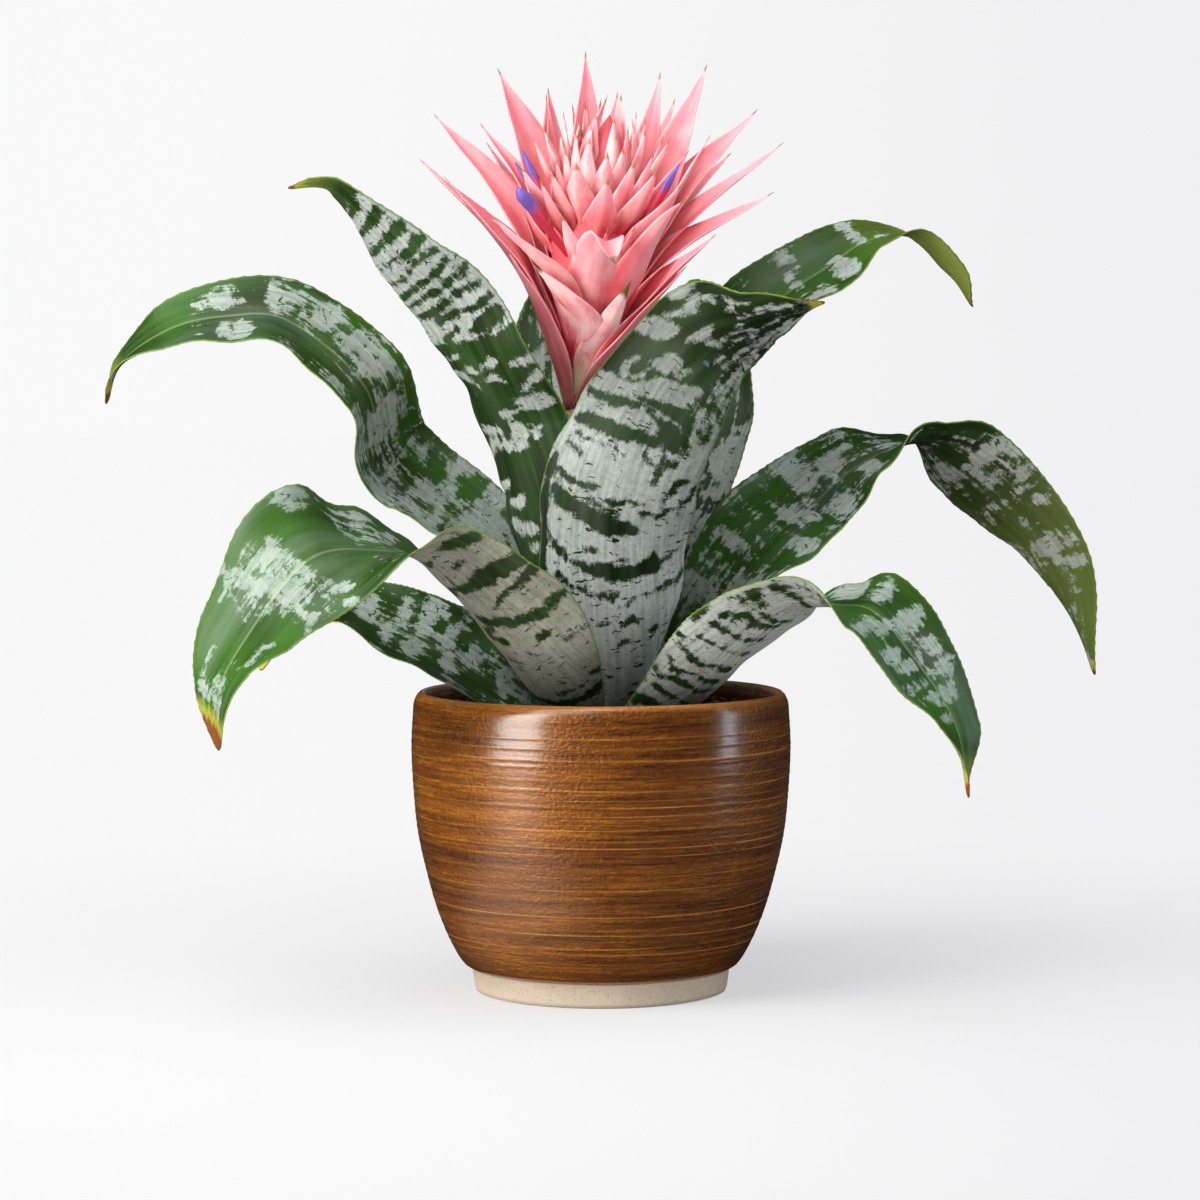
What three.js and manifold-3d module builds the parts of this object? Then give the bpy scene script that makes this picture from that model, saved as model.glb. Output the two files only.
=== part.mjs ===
// Urn plant (Aechmea fasciata) growing in a brown glazed pot.
// Millimetres, +Z up. The origin is the centre of the pot's flat underside,
// +X is to the right of the front view and +Y points away from it.
import * as THREE from 'three';
import { mergeVertices } from 'three/addons/utils/BufferGeometryUtils.js';
import Module from 'manifold-3d';

const wasm = await Module();
wasm.setup();

// ---- driving dimensions -------------------------------------------------
const FOOT_RADIUS = 55.8;          // bare stoneware foot
const FOOT_HEIGHT = 10.4;
const BELLY_RADIUS = 85.8;         // widest place of the glazed body
const RIM_RADIUS = 83.4;
const RIM_HEIGHT = 135.5;
const WALL = 6.2;
const POT_FLOOR = 9;
const POT_SEGMENTS = 36;

const CLEAR = 0.3;                 // air between two pieces that touch
const SOIL_TOP = 128;
const STEM_RADIUS = 27;            // short woody stem that carries the leaves
const STEM_FOOT = 92;
const STEM_TOP = 119.7;
const HOLE_MOUTH_RADIUS = 47;

const LEAF_THICKNESS = 1.0;
const LEAF_ROWS = 18;              // facets along a leaf
const LEAF_WRAP = 0.8;             // half angle, in radians, that a leaf base wraps round the stem

const UP = new THREE.Vector3(0, 0, 1);
const vec = (x, y, z) => new THREE.Vector3(x, y, z);
const mix = (a, b, t) => a + (b - a) * t;
const smooth = (t) => { const k = Math.min(1, Math.max(0, t)); return k * k * (3 - 2 * k); };
const group = new THREE.Group();
group.name = 'urn_plant';

// ---- helpers ------------------------------------------------------------
const paint = (colour, roughness) => new THREE.MeshStandardMaterial({ color: colour, roughness, metalness: 0 });

function addNode(parent, name, geometry, material) {
  const mesh = new THREE.Mesh(geometry, material);
  mesh.name = name;
  parent.add(mesh);
  return mesh;
}

// A solid for joining and cutting, from any closed geometry.
function solidOf(geometry) {
  const bare = geometry.index ? geometry.toNonIndexed() : geometry.clone();
  bare.deleteAttribute('normal');
  bare.deleteAttribute('uv');
  const merged = mergeVertices(bare, 1e-4);
  return new wasm.Manifold(new wasm.Mesh({
    numProp: 3,
    vertProperties: new Float32Array(merged.attributes.position.array),
    triVerts: new Uint32Array(merged.index.array),
  }));
}

function geometryOf(solid) {
  const mesh = solid.getMesh();
  const geometry = new THREE.BufferGeometry();
  geometry.setAttribute('position', new THREE.BufferAttribute(new Float32Array(mesh.vertProperties), 3));
  geometry.setIndex(new THREE.BufferAttribute(new Uint32Array(mesh.triVerts), 1));
  geometry.computeVertexNormals();
  return geometry;
}

// The biggest connected body of a solid: drops slivers that a cut leaves behind.
const mainBody = (solid) => solid.decompose().sort((a, b) => b.volume() - a.volume())[0];

// A turned shape about the Z axis. The profile runs from the axis at the bottom,
// up the outside, and back to the axis.
function turned(profile, segments) {
  const points = profile.map(([radius, height]) => new THREE.Vector2(radius, height));
  return new THREE.LatheGeometry(points, segments).rotateX(Math.PI / 2);
}

// A curve through stations, evaluated at 0..1 of its length.
function along(stations) {
  const curve = new THREE.CatmullRomCurve3(stations.map(([x, y, z]) => vec(x, y, z)), false, 'centripetal');
  curve.arcLengthDivisions = 400;
  const lengths = [0];
  for (let i = 1; i < stations.length; i++) {
    const [a, b] = [stations[i - 1], stations[i]];
    lengths.push(lengths[i - 1] + Math.hypot(b[0] - a[0], b[1] - a[1], b[2] - a[2]));
  }
  const total = lengths[lengths.length - 1];
  const extra = (t, column) => {
    const target = t * total;
    let i = 1;
    while (i < lengths.length - 1 && lengths[i] < target) i++;
    const k = smooth((target - lengths[i - 1]) / (lengths[i] - lengths[i - 1]));
    return mix(stations[i - 1][column] || 0, stations[i][column] || 0, k);
  };
  return { point: (t) => curve.getPointAt(t), tangent: (t) => curve.getTangentAt(t), extra, length: curve.getLength() };
}

// A closed blade from a grid of points: rows run along it, columns across it.
// Both faces are split into triangles alike, thickness / 2 to each side.
function blade(rows, thickness) {
  const height = rows.length;
  const width = rows[0].length;
  const at = (i, j) => rows[Math.min(height - 1, Math.max(0, i))][Math.min(width - 1, Math.max(0, j))];
  const positions = [];
  for (const side of [1, -1]) {
    for (let i = 0; i < height; i++) {
      for (let j = 0; j < width; j++) {
        const lengthwise = at(i + 1, j).clone().sub(at(i - 1, j));
        const across = at(i, j + 1).clone().sub(at(i, j - 1));
        const normal = lengthwise.cross(across).normalize();
        const p = at(i, j).clone().addScaledVector(normal, side * thickness / 2);
        positions.push(p.x, p.y, p.z);
      }
    }
  }
  const top = (i, j) => i * width + j;
  const bottom = (i, j) => height * width + i * width + j;
  const faces = [];
  const quad = (a, b, c, d) => faces.push(a, b, c, a, c, d);
  for (let i = 0; i < height - 1; i++) {
    for (let j = 0; j < width - 1; j++) {
      quad(top(i, j), top(i + 1, j), top(i + 1, j + 1), top(i, j + 1));
      faces.push(bottom(i, j), bottom(i + 1, j + 1), bottom(i + 1, j));
      faces.push(bottom(i, j), bottom(i, j + 1), bottom(i + 1, j + 1));
    }
    quad(bottom(i, 0), bottom(i + 1, 0), top(i + 1, 0), top(i, 0));
    quad(top(i, width - 1), top(i + 1, width - 1), bottom(i + 1, width - 1), bottom(i, width - 1));
  }
  for (let j = 0; j < width - 1; j++) {
    quad(bottom(0, j + 1), bottom(0, j), top(0, j), top(0, j + 1));
    quad(bottom(height - 1, j), bottom(height - 1, j + 1), top(height - 1, j + 1), top(height - 1, j));
  }
  const geometry = new THREE.BufferGeometry();
  geometry.setAttribute('position', new THREE.Float32BufferAttribute(positions, 3));
  geometry.setIndex(faces);
  geometry.computeVertexNormals();
  return geometry;
}

// ---- pot, soil and stem -------------------------------------------------
const potOutside = [
  [FOOT_RADIUS - 2.5, 0], [FOOT_RADIUS - 0.6, 0.6], [FOOT_RADIUS, 2.4], [57, FOOT_HEIGHT], [58.2, 11], [62.8, 13.5],
  [67.9, 21.8], [74.2, 36.9], [79.2, 54.6], [83, 72.3], [84.9, 91.2], [BELLY_RADIUS, 110.2], [85.3, 122.8],
  [84.4, 131], [RIM_RADIUS - 0.4, RIM_HEIGHT - 1.4],
];
const potLip = [[81.2, RIM_HEIGHT], [79.4, RIM_HEIGHT - 0.7], [78.4, RIM_HEIGHT - 2.6]];
const potInside = [
  [78.6, 124], [79.3, 110.2], [78.6, 91.2], [76.7, 72.3], [73, 54.6], [68, 36.9], [61.5, 21.8],
  [56, 13], [50, POT_FLOOR],
];
addNode(group, 'pot', turned([[0, 0], ...potOutside, ...potLip, ...potInside, [0, POT_FLOOR]], POT_SEGMENTS),
  paint('#6b3a14', 0.25));

// The soil fills the inside and leaves a flared hole for the stem.
const soilSide = [...potInside].reverse().filter(([, z]) => z < SOIL_TOP)
  .map(([radius, z]) => [radius - CLEAR * 1.6, z + CLEAR]);
addNode(group, 'soil', turned([
  [0, POT_FLOOR + CLEAR], ...soilSide, [78.5 - CLEAR * 1.6, SOIL_TOP], [HOLE_MOUTH_RADIUS, SOIL_TOP],
  [STEM_RADIUS + CLEAR, STEM_TOP - 1.5], [STEM_RADIUS + CLEAR, STEM_FOOT - CLEAR], [0, STEM_FOOT - CLEAR],
], POT_SEGMENTS), paint('#2b1d14', 0.95));

addNode(group, 'crown_stem', turned([
  [0, STEM_FOOT], [STEM_RADIUS - 5, STEM_FOOT], [STEM_RADIUS, STEM_FOOT + 9], [STEM_RADIUS, STEM_TOP], [0, STEM_TOP],
], 28), paint('#6d5a3a', 0.9));

// ---- leaves -------------------------------------------------------------
// Each leaf is a strap. Its spine runs through stations [x, y, z, roll], roll in degrees
// about the spine. "cup" is the half angle of the trough at even steps of the length.
function leafRows({ azimuth, spine, width, cup, wrap = LEAF_WRAP, point = 2.4 }, rowCount, columnCount) {
  const path = along(spine);
  const fine = 4 * rowCount;
  const angle = THREE.MathUtils.degToRad(azimuth);
  const baseHalf = wrap * Math.hypot(spine[0][0], spine[0][1]);
  const radial = vec(Math.cos(angle), Math.sin(angle), 0);
  let across = UP.clone().cross(radial).normalize();
  const rows = [];
  for (let k = 0; k <= fine; k++) {
    const t = k / fine;
    const tangent = path.tangent(t);
    across.addScaledVector(tangent, -across.dot(tangent)).normalize();
    if (k % 4) continue;
    const roll = THREE.MathUtils.degToRad(path.extra(t, 3));
    const side = across.clone().applyAxisAngle(tangent, roll);
    const inward = tangent.clone().cross(side).normalize();
    const grow = smooth(t / 0.34);
    const taper = Math.pow(Math.max(0, 1 - Math.pow(t, point)), 0.62);
    const half = Math.max(0.9, mix(baseHalf, width / 2, grow) * taper);
    const step = t * (cup.length - 1);
    const low = Math.min(cup.length - 2, Math.floor(step));
    const bend = Math.max(0.02, mix(cup[low], cup[low + 1], smooth(step - low)));
    const radius = half / bend;
    const row = [];
    for (let j = 0; j <= columnCount; j++) {
      const u = mix(-1, 1, j / columnCount);
      row.push(path.point(t).addScaledVector(side, radius * Math.sin(u * bend))
        .addScaledVector(inward, radius * (1 - Math.cos(u * bend))));
    }
    rows.push(row);
  }
  return rows;
}

const LEAVES = {
  leaf_01_front_tall: { azimuth: 285, width: 82, columns: 6, cup: [0.8, 1.05, 0.75, 0.45, 0.35],
    spine: [[4, -15, 119.5, 0], [7, -25, 142, -11], [6, -34, 171, -16], [4, -43, 211, -20], [14, -50, 248, -24],
      [33, -48, 281, -34], [46, -53, 294, -18], [71, -68, 301, 16], [96, -74, 309, 48]] },
  leaf_02_upper_right: { azimuth: 10, width: 66, columns: 4, cup: [0.8, 0.9, 0.6, 0.4, 0.4],
    spine: [[11.8, 2, 119.5, 0], [18, 3, 150, 7], [28, 4, 194, 15], [39, 12, 244, 23], [54, 21, 279, 31], [79, 31, 310, 40],
      [105, 39, 328, 43], [122, 44, 339, 30], [142, 51, 342, 14], [161, 60, 327, 10], [174, 76, 310, 40]] },
  leaf_03_upper_left: { azimuth: 215, width: 62, columns: 4, cup: [0.8, 0.9, 0.6, 0.4, 0.4],
    spine: [[-9.8, -6.9, 119.5, 0], [-12, -9, 150, 12], [-24, -13, 201, 20], [-30, -18, 228, 18], [-38, -18, 252, 12],
      [-52, -33, 281, 13], [-69, -41, 311, 26], [-86, -47, 327, 19], [-115, -51, 357, -4], [-122, -50, 360, -20],
      [-136, -48, 359, -30]] },
  leaf_04_left_middle: { azimuth: 175, width: 64, columns: 4, wrap: 0.65, cup: [0.6, 0.65, 0.5, 0.4, 0.4],
    spine: [[-15.4, 1.4, 119.5, 0], [-25, 2, 151, -12], [-41, 3, 188, -24], [-66, 5, 213, -29], [-89, 1, 231, -36],
      [-98, -5, 242, -44], [-105, -14, 272, -44], [-142, -15, 303, -46], [-165, -15, 304, -53], [-190, -14, 299, -50],
      [-215, -11, 282, -25], [-221, -10, 265, -3]] },
  leaf_05_front_left_low: { azimuth: 235, width: 92, columns: 4, wrap: 0.6, cup: [0.6, 0.8, 0.6, 0.2, 0.35],
    spine: [[-10.9, -15.6, 119.5, 0], [-14, -36, 131, 10], [-34, -60, 158, -5], [-58, -71, 184, -14], [-76, -79, 199, -18],
      [-94, -88, 203, -33], [-122, -107, 201, -66], [-147, -113, 171, -50], [-161, -122, 144, -28], [-162, -110, 120, -26]] },
  leaf_06_left_low: { azimuth: 165, width: 56, columns: 4, wrap: 0.5, cup: [0.5, 0.7, 0.5, 0.4, 0.4],
    spine: [[-21.7, 5.8, 119.5, 0], [-34, 4, 126.5, -13], [-55, 1, 140, -26], [-74, -2, 154, -31], [-98, -6, 166, -28],
      [-120, -10, 174, -17], [-140, -14, 166, -10], [-152, -17, 146, -5]] },
  leaf_07_back_left: { azimuth: 120, width: 60, columns: 4, cup: [0.8, 0.9, 0.6, 0.4, 0.4],
    spine: [[-6, 10.4, 119.5, 0], [-2, 23, 150, 0], [-1, 38, 194, -10], [-9, 47, 230, -18], [-21, 52, 266, -20],
      [-22, 58, 294, -15], [-16, 67, 315, -5], [-5, 82, 325, 0], [3, 102, 318, 0]] },
  leaf_08_back_right: { azimuth: 60, width: 58, columns: 4, cup: [0.8, 0.9, 0.6, 0.4, 0.4],
    spine: [[7.8, 13.4, 119.5, 0], [11, 30, 150, 5], [24, 52, 190, 10], [38, 68, 221, 15], [50, 78, 250, 15],
      [54, 86, 278, 10], [50, 94, 300, 5], [42, 108, 314, 0], [33, 124, 308, 0]] },
  leaf_09_right_middle: { azimuth: 355, width: 64, columns: 4, wrap: 0.65, cup: [0.6, 0.7, 0.54, 0.38, 0.5],
    spine: [[18.9, -1.7, 119.5, 0], [34, 2, 144, 20], [54, 10, 174, 46], [79, 24, 204, 62], [96, 36, 217, 60], [119, 45, 236, 42],
      [148, 55, 247, 14], [170, 60, 235, -22], [190, 65, 218, -26], [213, 71, 192, -14], [234, 86, 136, 35]] },
  leaf_10_front_right_low: { azimuth: 310, width: 64, columns: 4, wrap: 0.65, cup: [0.6, 0.9, 0.5, 0.22, 0.35],
    spine: [[14.5, -17.2, 119.5, 0], [31, -34, 131, -14], [55, -53, 153, -8], [73, -67, 170, -8], [86, -75, 178, -2],
      [103, -79, 179, 20], [116, -84, 177, 40], [136, -91, 154, 46], [151, -96, 129, 32], [156, -105, 99, -10]] },
  leaf_11_right_low: { azimuth: 25, width: 50, columns: 4, wrap: 0.45, cup: [0.5, 0.8, 0.5, 0.4, 0.4],
    spine: [[23.6, 11, 119.5, 0], [41, 22, 131, 0], [53, 34, 150, 0], [60, 48, 168, 0], [64, 66, 182, 0], [67, 88, 188, 0],
      [69, 112, 182, 0], [70, 130, 164, 0]] },
  leaf_12_back: { azimuth: 95, width: 56, columns: 4, cup: [0.8, 0.9, 0.5, 0.4, 0.4],
    spine: [[-1.7, 18.9, 119.5, 0], [-3, 38, 143, 0], [-5, 66, 168, 0], [-8, 94, 186, 0], [-11, 122, 194, 0], [-14, 148, 188, 0],
      [-16, 170, 168, 0], [-17, 182, 142, 0]] },
  leaf_13_back_left_low: { azimuth: 128, width: 54, columns: 4, wrap: 0.42, cup: [0.5, 0.8, 0.5, 0.4, 0.4],
    spine: [[-16, 20.5, 119.5, 0], [-30, 44, 135, 0], [-42, 66, 152, 0], [-54, 90, 164, 0], [-64, 114, 164, 0],
      [-70, 136, 148, 0], [-73, 150, 124, 0]] },
  leaf_14_back_right_low: { azimuth: 75, width: 54, columns: 4, wrap: 0.42, cup: [0.5, 0.8, 0.5, 0.4, 0.4],
    spine: [[5.8, 25.5, 119.5, 0], [14, 48, 133, 0], [22, 74, 150, 0], [30, 102, 160, 0], [37, 128, 158, 0], [42, 150, 142, 0],
      [45, 164, 118, 0]] },
};

const leaves = new THREE.Group();
leaves.name = 'leaves';
group.add(leaves);
const leafPaint = paint('#3f6a3c', 0.45);
// Leaf bases are cut flat where they stand on the stem.
const seat = solidOf(new THREE.CylinderGeometry(STEM_RADIUS + 4, STEM_RADIUS + 4, 20, 48).rotateX(Math.PI / 2)
  .translate(0, 0, STEM_TOP + CLEAR - 10));
for (const [name, leaf] of Object.entries(LEAVES)) {
  const whole = solidOf(blade(leafRows(leaf, LEAF_ROWS, leaf.columns), LEAF_THICKNESS));
  addNode(leaves, name, geometryOf(mainBody(whole.subtract(seat))), leafPaint);
}

// ---- flower -------------------------------------------------------------
// The stalk rises from the stem through the leaves and carries the head.
const HEAD_FOOT = vec(-12, -4, 262);
const HEAD_TOP = vec(4, 2, 394);
const HEAD_AXIS = HEAD_TOP.clone().sub(HEAD_FOOT).normalize();
const STALK_RADIUS = 3.6;
const BRACT_THICKNESS = 0.8;
const HEAD_DETAIL = 0.2;            // facets smaller than this are merged
// Radius of the solid middle of the head, at even steps from its foot to its top.
const CORE = [3.8, 4.6, 8, 13, 17, 19, 18, 14, 9, 3];

const onAxis = (height) => HEAD_FOOT.clone().lerp(HEAD_TOP, (height - HEAD_FOOT.z) / (HEAD_TOP.z - HEAD_FOOT.z));
const tiltToHead = new THREE.Quaternion().setFromUnitVectors(UP, HEAD_AXIS);

function coreRadius(height) {
  const step = Math.min(1, Math.max(0, (height - HEAD_FOOT.z) / (HEAD_TOP.z - HEAD_FOOT.z))) * (CORE.length - 1);
  const low = Math.min(CORE.length - 2, Math.floor(step));
  return mix(CORE[low], CORE[low + 1], step - low);
}

// A bract is a pointed blade from the core to its tip. "arch" bows it towards the axis,
// "cup" is the half angle of its trough.
function bractRows({ tip, width, foot, arch = 0.04, cup = 0.6, roll = 0, bend = [] }, rowCount, columnCount) {
  const end = vec(...tip);
  const middle = onAxis(foot);
  const out = end.clone().sub(middle).addScaledVector(HEAD_AXIS, -end.clone().sub(middle).dot(HEAD_AXIS)).normalize();
  const root = middle.addScaledVector(out, 0.85 * coreRadius(foot));
  const chord = end.clone().sub(root);
  const bow = out.clone().addScaledVector(chord, -out.dot(chord) / chord.lengthSq()).normalize();
  const knee = root.clone().lerp(end, 0.5).addScaledVector(bow, -arch * chord.length());
  const stations = bend.length ? [root.toArray(), ...bend, tip] : [root.toArray(), knee.toArray(), tip];
  const path = along(stations);
  const side = HEAD_AXIS.clone().cross(out).normalize();
  const rows = [];
  for (let i = 0; i <= rowCount; i++) {
    const t = i / rowCount;
    const tangent = path.tangent(t);
    const across = side.clone().addScaledVector(tangent, -side.dot(tangent)).normalize()
      .applyAxisAngle(tangent, THREE.MathUtils.degToRad(roll * smooth(t / 0.6)));
    const inward = tangent.clone().cross(across).normalize();
    const half = Math.max(0.45, width / 2 * mix(0.4, 1, smooth(t / 0.4)) * Math.pow(1 - Math.pow(t, 1.9), 1.05));
    const radius = half / cup;
    const row = [];
    for (let j = 0; j <= columnCount; j++) {
      const turn = mix(-cup, cup, j / columnCount);
      row.push(path.point(t).addScaledVector(across, radius * Math.sin(turn))
        .addScaledVector(inward, radius * (1 - Math.cos(turn))));
    }
    rows.push(row);
  }
  return rows;
}

// Large bracts: tip, width, height of the foot on the axis.
const LARGE_BRACTS = [
  { tip: [-81, -8, 374], width: 21, foot: 286, arch: 0.09, roll: -22 },
  { tip: [-69, -30, 365], width: 18, foot: 284, arch: 0.08, roll: -25 },
  { tip: [-76, 28, 396], width: 24, foot: 300, arch: 0.02, roll: -32 },
  { tip: [-55, 30, 392], width: 15, foot: 306, roll: -30 },
  { tip: [-47, 30, 417], width: 25, foot: 316, arch: 0.03, roll: -36 },
  { tip: [-25, 36, 406], width: 15, foot: 316, arch: -0.04, roll: -10 },
  { tip: [-7, 24, 424], width: 20, foot: 330, arch: 0.05, roll: -10 },
  { tip: [27, 28, 415], width: 20, foot: 320, arch: -0.04, roll: 14 },
  { tip: [48, 22, 418], width: 26, foot: 304, arch: 0, roll: 42 },
  { tip: [48, -28, 383], width: 12, foot: 306, arch: 0, roll: 30 },
  { tip: [71, 24, 398], width: 24, foot: 296, roll: 34 },
  { tip: [82, 6, 382], width: 20, foot: 290, arch: 0.07, roll: 26 },
  { tip: [77, -12, 359], width: 18, foot: 284, arch: 0.13, roll: 22 },
  { tip: [48, -28, 346], width: 19, foot: 280, arch: 0.05, roll: 20 },
  { tip: [39, -50, 355], width: 24, foot: 286, arch: 0.03 },
  { tip: [-49, -46, 344], width: 20, foot: 282, arch: 0.05 },
  { tip: [-17, -56, 347], width: 20, foot: 288, arch: 0.05 },
  { tip: [6, -67, 325], width: 25, foot: 282, bend: [[2, -34, 304], [3, -52, 328], [3, -59, 336], [5, -65, 333]] },
  { tip: [-30, -44, 325], width: 17, foot: 272, arch: 0.02 },
  { tip: [13, -46, 318], width: 17, foot: 268, arch: 0.02 },
  { tip: [-41, -20, 326], width: 16, foot: 268, arch: 0.03, roll: -10 },
  { tip: [36, -30, 324], width: 20, foot: 272, arch: 0.03, roll: 20 },
];

// The side away from the viewer carries the same kinds of bract, in three tiers.
const BACK_TIERS = [
  { count: 4, from: 20, to: 160, reach: 66, height: 350, width: 21, foot: 284, arch: 0.09 },
  { count: 4, from: 25, to: 155, reach: 72, height: 380, width: 22, foot: 296, arch: 0.05 },
  { count: 3, from: 35, to: 150, reach: 46, height: 404, width: 20, foot: 310, arch: 0 },
];
for (const { count, from, to, reach, height, ...shape } of BACK_TIERS) {
  for (let i = 0; i < count; i++) {
    const turn = THREE.MathUtils.degToRad(mix(from, to, (i + 0.5) / count) + 6 * Math.sin(5 * i));
    const middle = onAxis(height);
    const far = reach * (1 + 0.08 * Math.sin(3 * i + 1));
    LARGE_BRACTS.push({ tip: [middle.x + far * Math.cos(turn), middle.y + far * Math.sin(turn), height + 5 * Math.sin(7 * i)],
      ...shape });
  }
}

// Small bracts of the dome: tip and width. Each one stands on the core a little below its tip.
const SMALL_BRACTS = [
  [[0, -8, 392], 14], [[10, 0, 403], 10], [[3, 7, 402], 7], [[-7, -2, 399], 9], [[-12, 6, 399], 7], [[-16, -4, 394], 9],
  [[15, -4, 394], 9], [[20, -10, 388], 10], [[30, -14, 382], 9], [[7, -16, 383], 12], [[2, -22, 376], 16],
  [[-10, -27, 368], 19], [[15, -22, 373], 14], [[24, -28, 366], 16], [[2, -35, 360], 18], [[-23, -26, 366], 13],
  [[-28, -14, 375], 10], [[-31, -6, 384], 10], [[-36, -26, 369], 13], [[15, -46, 342], 9], [[3, -48, 342], 9],
  [[37, -30, 362], 13], [[-20, -38, 352], 14],
];
for (const { count, reach, height } of [{ count: 5, reach: 36, height: 360 }, { count: 4, reach: 26, height: 376 },
  { count: 3, reach: 15, height: 390 }]) {
  for (let i = 0; i < count; i++) {
    const turn = THREE.MathUtils.degToRad(mix(0, 180, (i + 0.5) / count) + 9 * Math.sin(4 * i + reach));
    const middle = onAxis(height);
    SMALL_BRACTS.push([[middle.x + reach * Math.cos(turn), middle.y + reach * Math.sin(turn), height + 3 * Math.sin(6 * i)], 16]);
  }
}

// Violet petals peep out between the bracts: foot, tip, widest radius, and where along the length it is widest.
const PETALS = {
  petal_01_left_upper: { foot: [-15, -10, 336], tip: [-35.5, -12, 378], radius: 1.9, fullest: 0.7 },
  petal_02_left_lower: { foot: [-14, -14, 330], tip: [-37, -31, 360], radius: 3.3, fullest: 0.87 },
  petal_03_right: { foot: [13, -11, 334], tip: [34.5, -21, 371], radius: 2.1, fullest: 0.7 },
  petal_04_back_right: { foot: [11, 13, 334], tip: [33, 33, 370], radius: 2, fullest: 0.7 },
  petal_05_back: { foot: [-2, 17, 332], tip: [-6, 43, 366], radius: 3.1, fullest: 0.87 },
  petal_06_back_left: { foot: [-14, 10, 336], tip: [-39, 22, 374], radius: 1.9, fullest: 0.7 },
};
function petal({ foot, tip, radius, fullest }, extra) {
  const start = vec(...foot);
  const length = start.distanceTo(vec(...tip));
  const profile = [[0, -extra]];
  for (let i = 0; i <= 6; i++) {
    const t = i / 6;
    const swell = t < fullest ? mix(0.4, 1, smooth(t / fullest)) : Math.cos((t - fullest) / (1 - fullest) * 1.4);
    profile.push([radius * swell + extra, mix(-extra, length, t)]);
  }
  profile.push([0, length + extra]);
  const turn = new THREE.Quaternion().setFromUnitVectors(UP, vec(...tip).sub(start).normalize());
  return turned(profile, 8).applyQuaternion(turn).translate(start.x, start.y, start.z);
}

const flower = new THREE.Group();
flower.name = 'flower';
group.add(flower);

// Stalk with three clasping bracts below the head.
const stalkPath = new THREE.CatmullRomCurve3([vec(0, 0, STEM_TOP + CLEAR), vec(-1, 0, 160), vec(-5, -2, 205), vec(-9, -3, 234),
  HEAD_FOOT.clone().addScaledVector(HEAD_AXIS, -10), HEAD_FOOT.clone().addScaledVector(HEAD_AXIS, -1.5 * CLEAR)]);
const round = new THREE.Shape().absarc(0, 0, STALK_RADIUS, 0, 2 * Math.PI);
let stalk = solidOf(new THREE.ExtrudeGeometry(round, { steps: 10, curveSegments: 5, extrudePath: stalkPath, bevelEnabled: false }));
const STALK_BRACTS = [
  { at: [-6, -2, 214], mid: [-9, -7, 236], tip: [-17, -11, 256], width: 11 },
  { at: [-5, -1, 205], mid: [0, 3, 228], tip: [6, 8, 246], width: 11 },
  { at: [-2, 0, 175], mid: [-3, 7, 196], tip: [-8, 14, 212], width: 11 },
];
for (const { at, mid, tip, width } of STALK_BRACTS) {
  const path = along([at, mid, tip]);
  const out = vec(tip[0] - at[0], tip[1] - at[1], 0).normalize();
  const side = UP.clone().cross(out);
  const rows = [];
  for (let i = 0; i <= 5; i++) {
    const half = Math.max(0.5, width / 2 * (1 - Math.pow(i / 5, 2)));
    rows.push([-1, 0, 1].map((u) => path.point(i / 5).addScaledVector(side, half * u).addScaledVector(out, -0.4 * half * u * u)));
  }
  stalk = stalk.add(solidOf(blade(rows, BRACT_THICKNESS)));
}
addNode(flower, 'flower_stalk', geometryOf(mainBody(stalk)), paint('#dcb9a0', 0.6));

// The head: core and bracts grown together, with room for the petals.
const coreProfile = CORE.map((radius, i) => [radius, i / (CORE.length - 1) * HEAD_FOOT.distanceTo(HEAD_TOP)]);
let head = solidOf(turned([[0, 0], ...coreProfile, [0, coreProfile.at(-1)[1]]], 12)
  .applyQuaternion(tiltToHead).translate(HEAD_FOOT.x, HEAD_FOOT.y, HEAD_FOOT.z));
const bractSolids = [
  ...LARGE_BRACTS.map((bract) => solidOf(blade(bractRows(bract, bract.bend ? 8 : 4, 2), BRACT_THICKNESS))),
  ...SMALL_BRACTS.map(([tip, width]) => {
    const foot = Math.min(HEAD_TOP.z - 14, tip[2] - 30);
    return solidOf(blade(bractRows({ tip, width, foot, arch: -0.06, cup: 0.8 }, 3, 2), BRACT_THICKNESS));
  }),
];
for (const bract of bractSolids) head = head.add(bract);
for (const shape of Object.values(PETALS)) head = head.subtract(solidOf(petal(shape, CLEAR + 0.15)));
addNode(flower, 'flower_head', geometryOf(mainBody(head.simplify(HEAD_DETAIL))), paint('#ee8f98', 0.55));

const petals = new THREE.Group();
petals.name = 'petals';
flower.add(petals);
for (const [name, shape] of Object.entries(PETALS)) addNode(petals, name, petal(shape, 0), paint('#7b5cc0', 0.5));

export default group;
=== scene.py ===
# %% [markdown]
# # An urn plant in its brown glazed pot
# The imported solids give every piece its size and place. Here they are replaced by finer
# meshes: a thrown pot, crumbly soil, strap leaves with silver bands, and a pink flower head.
# Everything is in metres, in the frame of the solids, with +Z up and the viewer at -Y.

# %% Load the fixed frame
import math
import random

import bmesh
import bpy
import numpy as np
from mathutils import Matrix, Quaternion, Vector, noise


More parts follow.
